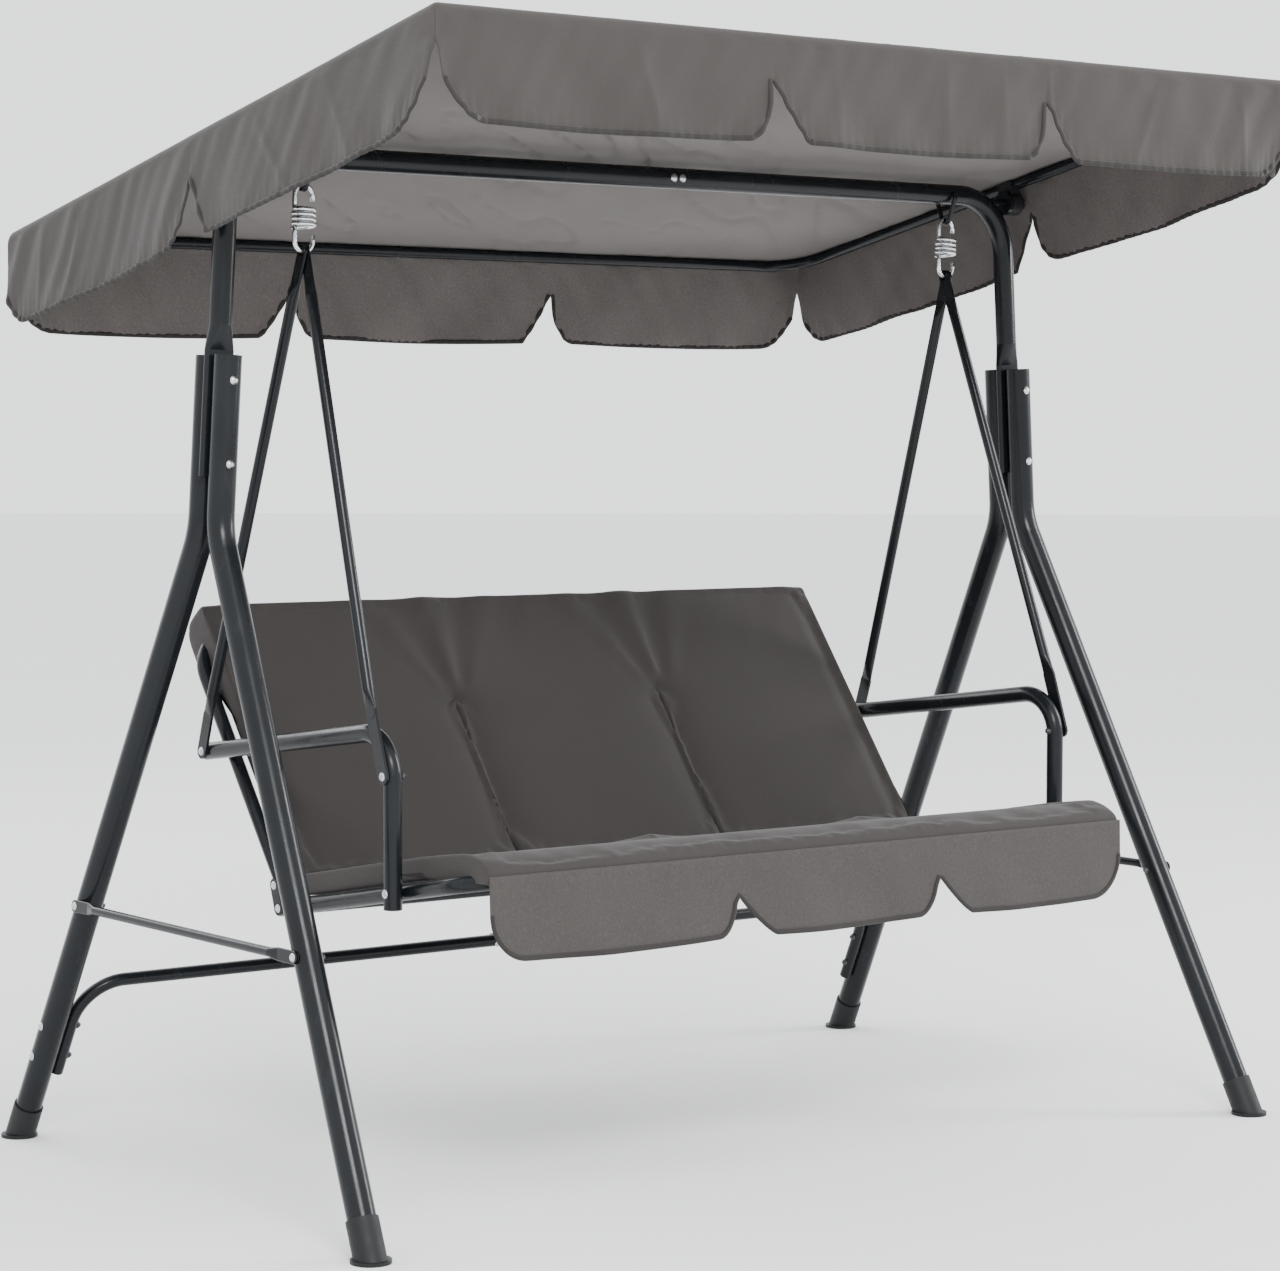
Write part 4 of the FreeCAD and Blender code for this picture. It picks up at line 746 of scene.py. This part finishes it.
class Pad:
    """A stuffed cushion: rings of points round its outline, sunk at its seams and its ends.

    Heights up the pad are shares of its length, from 0 at its low end to 1 at its high end.
    """

    END_ROUND = 5 * MM
    THIN_EDGE = 55 * MM
    EDGE_HOLD = 12 * MM
    VALLEY = 30 * MM
    THREAD_HOLD = 1 * MM

    def __init__(self, node, sling, seams, seam_reach, seam_sink, edge_sink, wrinkles,
                 foot_drop=0.0, seam_start=-1.0):
        self.node = node
        self.plane = SlingPlane(sling)
        self.loop = rounded_loop(outline(node), LOOP_STEP)
        self.normals = loop_normals(self.loop)
        self.low, self.high, self.face = self.plane.extent(self.loop)
        self.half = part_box(node)[1].x
        self.seams = seams
        self.seam_reach, self.seam_sink, self.edge_sink = seam_reach, seam_sink, edge_sink
        self.wrinkles, self.foot_drop, self.seam_start = wrinkles, foot_drop, seam_start
        flat = self.half - self.END_ROUND
        ends = [self.half - self.END_ROUND * (1 - math.cos(angle))
                for angle in np.linspace(math.pi / 2, 0, 4)][1:]
        inner = list(np.linspace(-flat, flat, round(2 * flat / LOOP_STEP) + 1))
        inner = [x for x in inner if self.seam_distance(x) > 1.2 * LOOP_STEP]
        inner += [seam + side * offset for seam in seams for side in (-1, 1) for offset in STITCH_PLACES]
        inner += list(seams)
        self.xs = [-x for x in reversed(ends)] + sorted(inner) + ends

    def facing(self, normal):
        """1 where the skin faces the sitter, 0 at the back."""
        return smooth_step((normal.dot(Vector(self.plane.out)) - 0.2) / 0.6)

    def seam_distance(self, x):
        return min((abs(x - seam) for seam in self.seams), default=1.0)

    def above_start(self, up):
        """0 below the lower end of the sewn channels, 1 above it."""
        return smooth_step((up - self.seam_start) / 0.15)

    def sink(self, x, along, facing):
        """How far the skin lies below the full outline before it is filled."""
        up = (along - self.low) / (self.high - self.low)
        sewn = smooth_step((self.seam_reach - up) / 0.10 + 0.5) * self.above_start(up)
        valley = self.seam_sink * sewn * math.exp(-self.seam_distance(x) / self.VALLEY)
        ends = self.edge_sink * (1 - smooth_step((self.half - abs(x)) / self.THIN_EDGE)) ** 1.5
        return facing * (valley + ends)

    def build(self, name, material):
        points, self.pinned = [], []
        for x in self.xs:
            inset = self.half - abs(x)
            reach = max(0.0, 1 - inset / self.END_ROUND)
            rounding = self.END_ROUND * (1 - math.sqrt(max(0.0, 1 - reach * reach)))
            for point, normal in zip(self.loop, self.normals):
                facing = self.facing(normal)
                along, _ = self.plane.local(point)
                up = (along - self.low) / (self.high - self.low)
                sunk = self.sink(x, along, facing) + rounding
                raised = facing * self.wrinkles(x, up) if inset > self.END_ROUND else 0.0
                lower = Vector(self.plane.along) * self.foot_drop * smooth_step(1 - up / 0.15)
                moved = point - normal * (sunk - raised) - lower
                channel = self.seam_start < up < self.seam_reach - 0.02
                sewn = channel and self.seam_distance(x) < self.THREAD_HOLD
                if facing < 0.5 or sewn or inset < self.EDGE_HOLD:
                    self.pinned.append(len(points))
                points.append(Vector((x, moved.x, moved.y)))
        columns = len(self.loop)
        faces = grid_faces(len(self.xs), columns, closed=True, flip=True)
        faces.append(tuple(range(columns)))
        faces.append(tuple(reversed(range(len(points) - columns, len(points)))))
        return new_piece(name, points, faces, [material])


def inflate(piece, pinned, limit, pressure, growth, frames=20):
    """Fills a cushion by cloth simulation: pinned points stay, the others move at most by limit."""
    group = piece.vertex_groups.new(name="sewn")
    group.add(pinned, 1.0, "REPLACE")
    rest = np.array([tuple(vertex.co) for vertex in piece.data.vertices])
    cloth = piece.modifiers.new("filling", "CLOTH")
    cloth.settings.vertex_group_mass = group.name
    cloth.settings.use_pressure = True
    cloth.settings.uniform_pressure_force = pressure
    cloth.settings.shrink_min = -growth
    cloth.settings.mass = 0.25
    cloth.settings.tension_stiffness = 25
    cloth.settings.compression_stiffness = 25
    cloth.settings.bending_stiffness = 0.6
    cloth.settings.effector_weights.gravity = 0
    cloth.point_cache.frame_end = frames
    for number in range(1, frames + 1):
        bpy.context.scene.frame_set(number)
    shown = piece.evaluated_get(bpy.context.evaluated_depsgraph_get()).data
    moved = np.array([tuple(vertex.co) for vertex in shown.vertices]) - rest
    piece.modifiers.clear()
    bpy.context.scene.frame_set(1)
    length = np.linalg.norm(moved, axis=1, keepdims=True)
    moved *= np.minimum(1.0, limit / np.maximum(length, 1e-9))
    piece.data.vertices.foreach_set("co", (rest + moved).ravel())
    piece.data.update()


def subdivide(piece, levels=1):
    finer = piece.modifiers.new("skin", "SUBSURF")
    finer.levels = finer.render_levels = levels
    apply_modifiers(piece)


def stitch(piece, pad):
    """Draws the skin in along each sewn channel, and into a tuft at its upper end."""
    out = Vector((0, *pad.plane.out))
    for vertex in piece.data.vertices:
        along, rise = pad.plane.local(vertex.co.yz)
        if rise < 0.4 * pad.face:
            continue
        up = (along - pad.low) / (pad.high - pad.low)
        beside = pad.seam_distance(vertex.co.x)
        above = (up - pad.seam_reach) * (pad.high - pad.low)
        groove = GROOVE_DEPTH * math.exp(-(beside / GROOVE_WIDTH) ** 2) * smooth_step(-above / TUFT_SIZE)
        groove *= pad.above_start(up)
        tuft = TUFT_DEPTH * math.exp(-math.hypot(beside, above) / TUFT_SIZE)
        vertex.co -= out * (groove + tuft)


PANEL_SEAMS = (-0.335, 0.335)
STITCH_PLACES = (1.5 * MM, 3.5 * MM, 6.5 * MM)
GROOVE_DEPTH, GROOVE_WIDTH = 5 * MM, 3 * MM
TUFT_DEPTH, TUFT_SIZE = 9 * MM, 16 * MM


def back_wrinkles(x, up):
    """Gathers that hang from the top seam and drag towards the upper end of each sewn channel."""
    top = smooth_step((up - 0.60) / 0.3)
    lean = 0.25 * (1 - up)
    gathers = noise.noise(Vector((x * 26 + lean * 20, up * 1.6, 3.0)))
    near = max(math.exp(-((x - seam * HALF_CUSHION) / 0.13) ** 2) for seam in PANEL_SEAMS)
    foot = math.exp(-up / 0.07) * noise.noise(Vector((x * 30, up * 3, 8.0)))
    fan = 0.0
    for seam in PANEL_SEAMS:
        slope = (x - seam * HALF_CUSHION) / (0.03 + 0.33 * max(0.0, up - 0.58))
        fan += math.cos(slope * 9 + seam) * math.exp(-(slope / 0.7) ** 2)
    fan *= smooth_step((up - 0.60) / 0.08)
    return (3.2 * gathers * top * (0.35 + 0.65 * near) + 1.6 * foot + 4.5 * fan) * MM


def seat_wrinkles(x, up):
    """Small gathers over the front roll."""
    roll = math.exp(-((up - 0.06) / 0.09) ** 2)
    return 1.8 * MM * roll * noise.noise(Vector((x * 24 + up * 4, up * 5, 6.0)))


HALF_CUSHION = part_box("back_cushion")[1].x


def make_cushions():
    seams = [share * HALF_CUSHION for share in PANEL_SEAMS]
    pads = {
        "back": (Pad("back_cushion", "back_sling", seams, 0.60, 24 * MM, 14 * MM, back_wrinkles,
                     foot_drop=13 * MM),
                 FINISHES["cushion_fabric"], 12 * MM, 0.02),
        "seat": (Pad("seat_cushion", "seat_sling", seams, 0.93, 12 * MM, 5 * MM, seat_wrinkles,
                     seam_start=0.30),
                 ROLL_CLOTH, 8 * MM, 0.015),
    }
    for name, (pad, material, limit, growth) in pads.items():
        piece = pad.build(f"padded_{name}", material)
        inflate(piece, pad.pinned, limit, pressure=3.0, growth=growth)
        subdivide(piece)
        stitch(piece, pad)
        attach(piece, "seat")
        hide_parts(pad.node)


SLING_SLACK = 6 * MM
SLING_INSET = 0.3 * MM
SLING_THICKNESS = 1.2 * MM


def make_slings():
    """Two black slings that bear the cushions, slack by a few millimetres in the middle."""
    for name in ("seat", "back"):
        node = f"{name}_sling"
        plane = SlingPlane(node)
        low, high, face = plane.extent(outline(node))
        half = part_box(node)[1].x
        columns, rows = 61, 31
        points = []
        for row in range(rows):
            for column in range(columns):
                u, v = 2 * column / (columns - 1) - 1, 2 * row / (rows - 1) - 1
                slack = SLING_SLACK * (1 - u * u) * (1 - v * v)
                place = plane.centre + plane.along * ((low + high) / 2 + v * (high - low) / 2)
                place = place + plane.out * (face - SLING_INSET - slack)
                points.append(Vector((u * half, *place)))
        piece = new_piece(f"{name}_sling_cloth", points, grid_faces(rows, columns),
                          [FINISHES["sling_fabric"]])
        thicken(piece, SLING_THICKNESS)
        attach(piece, "seat")
        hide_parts(node)


SKIRT_ROWS = 22
SKIRT_FLARE = 4 * MM
SKIRT_FOLD = 8 * MM
SKIRT_SLANT = 5 * MM
SKIRT_GATHER = 1.2 * MM
SKIRT_GATHER_REACH = 14 * MM


def make_skirt():
    """The skirt that hangs from the front of the seat cushion in three scallops."""
    low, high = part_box("cushion_skirt")
    length, depth = high.x - low.x, high.z - low.z
    edge = Scallops(length, depth - 2 * MM, (length * 0.36, length * 0.68), 56 * MM,
                    (34 * MM, 66 * MM), 60 * MM)
    places = edge.stations(EDGE_STEP)
    face = (low.y + high.y) / 2
    points = []
    for row in range(SKIRT_ROWS + 1):
        for along in places:
            full = edge.depth_at(along)
            drop = row / SKIRT_ROWS * full
            share = drop / depth
            folds = SKIRT_FOLD * share * noise.noise(Vector((along * 5, share, 21.0)))
            slant = SKIRT_SLANT * share * wrinkle(along * 0.5 + drop, along * 0.85 - drop * 0.5, 22.0)
            gather = (SKIRT_GATHER * math.exp(-drop / SKIRT_GATHER_REACH)
                      * noise.noise(Vector((along * 45, 0, 5.0))))
            out = SKIRT_FLARE * share + folds + slant + gather
            points.append(Vector((low.x + along, face - out, high.z - drop)))
    piece = new_piece("seat_skirt", points, grid_faces(SKIRT_ROWS + 1, len(places), flip=True),
                      [SKIRT_CLOTH])
    thicken(piece, CLOTH)
    binding = binding_strip("seat_skirt_binding", points[-len(places):], Vector((0, -1, 0)))
    for part in (piece, binding):
        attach(part, "seat")
    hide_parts("cushion_skirt")
    flat_area(edge)


# ------------------------------------------------------------------------- stage, light, camera

def make_stage():
    """A wide, flat, pale floor."""
    radius, rings, spokes = 40.0, 12, 96
    points = [Vector((0, 0, 0))]
    for ring in range(1, rings + 1):
        reach = radius * (ring / rings) ** 2
        points += [Vector((reach * math.cos(2 * math.pi * spoke / spokes),
                           reach * math.sin(2 * math.pi * spoke / spokes), 0)) for spoke in range(spokes)]
    faces = [(0, 1 + spoke, 1 + (spoke + 1) % spokes) for spoke in range(spokes)]
    faces += grid_faces(rings, spokes, closed=True, start=1, flip=True)
    paper = Finish("pale_floor", Roughness=0.9, Specular_IOR_Level=0.1)
    tint = paper.blend(paper.noise(0.8), (0.86, 0.86, 0.86), (0.88, 0.88, 0.88))
    floor = new_piece("floor", points, faces, [paper.wire(tint)])


def area_light(name, place, target, size, power, tint=(1, 1, 1)):
    light = bpy.data.lights.new(name, "AREA")
    light.shape = "RECTANGLE"
    light.size, light.size_y = size
    light.energy = power
    light.color = tint
    lamp = bpy.data.objects.new(name, light)
    lamp.location = place
    lamp.rotation_euler = (Vector(target) - Vector(place)).to_track_quat("-Z", "Y").to_euler()
    bpy.context.scene.collection.objects.link(lamp)


def make_lights():
    world = bpy.data.worlds.new("studio")
    world.use_nodes = True
    world.node_tree.nodes["Background"].inputs["Color"].default_value = (0.96, 0.98, 1.0, 1)
    world.node_tree.nodes["Background"].inputs["Strength"].default_value = 2.0
    bpy.context.scene.world = world
    area_light("key", (-2.2, -4.2, 3.6), (0, 0, 0.7), (2.0, 1.2), 220)
    area_light("side", (4.2, -1.8, 2.4), (0, 0, 0.8), (1.0, 2.0), 140)
    area_light("rear", (-1.2, 4.5, 3.2), (0, 0, 0.8), (3.0, 1.5), 70)


CAMERA_PLACE = (-3.0575, -4.0506, 1.0309)
CAMERA_YAW, CAMERA_PITCH, CAMERA_ROLL = (math.radians(angle) for angle in (36.943, -3.35, 0.122))
CAMERA_LENS = 96.33


def make_camera():
    """The photograph's view: from low in front of the left end, with a long lens."""
    forward = Vector((math.sin(CAMERA_YAW) * math.cos(CAMERA_PITCH),
                      math.cos(CAMERA_YAW) * math.cos(CAMERA_PITCH), math.sin(CAMERA_PITCH)))
    level = Vector((math.cos(CAMERA_YAW), -math.sin(CAMERA_YAW), 0))
    upright = level.cross(forward)
    right = level * math.cos(CAMERA_ROLL) + upright * math.sin(CAMERA_ROLL)
    up = upright * math.cos(CAMERA_ROLL) - level * math.sin(CAMERA_ROLL)
    data = bpy.data.cameras.new("photo_view")
    data.sensor_width, data.sensor_fit = 36.0, "HORIZONTAL"
    data.lens = CAMERA_LENS
    camera = bpy.data.objects.new("photo_view", data)
    turn = Matrix((right, up, -forward)).transposed()
    camera.matrix_world = Matrix.Translation(CAMERA_PLACE) @ turn.to_4x4()
    bpy.context.scene.collection.objects.link(camera)
    bpy.context.scene.camera = camera


dress_cad_nodes()
make_springs()
make_canopy()
make_cushions()
make_slings()
make_skirt()
make_stage()
make_lights()
make_camera()
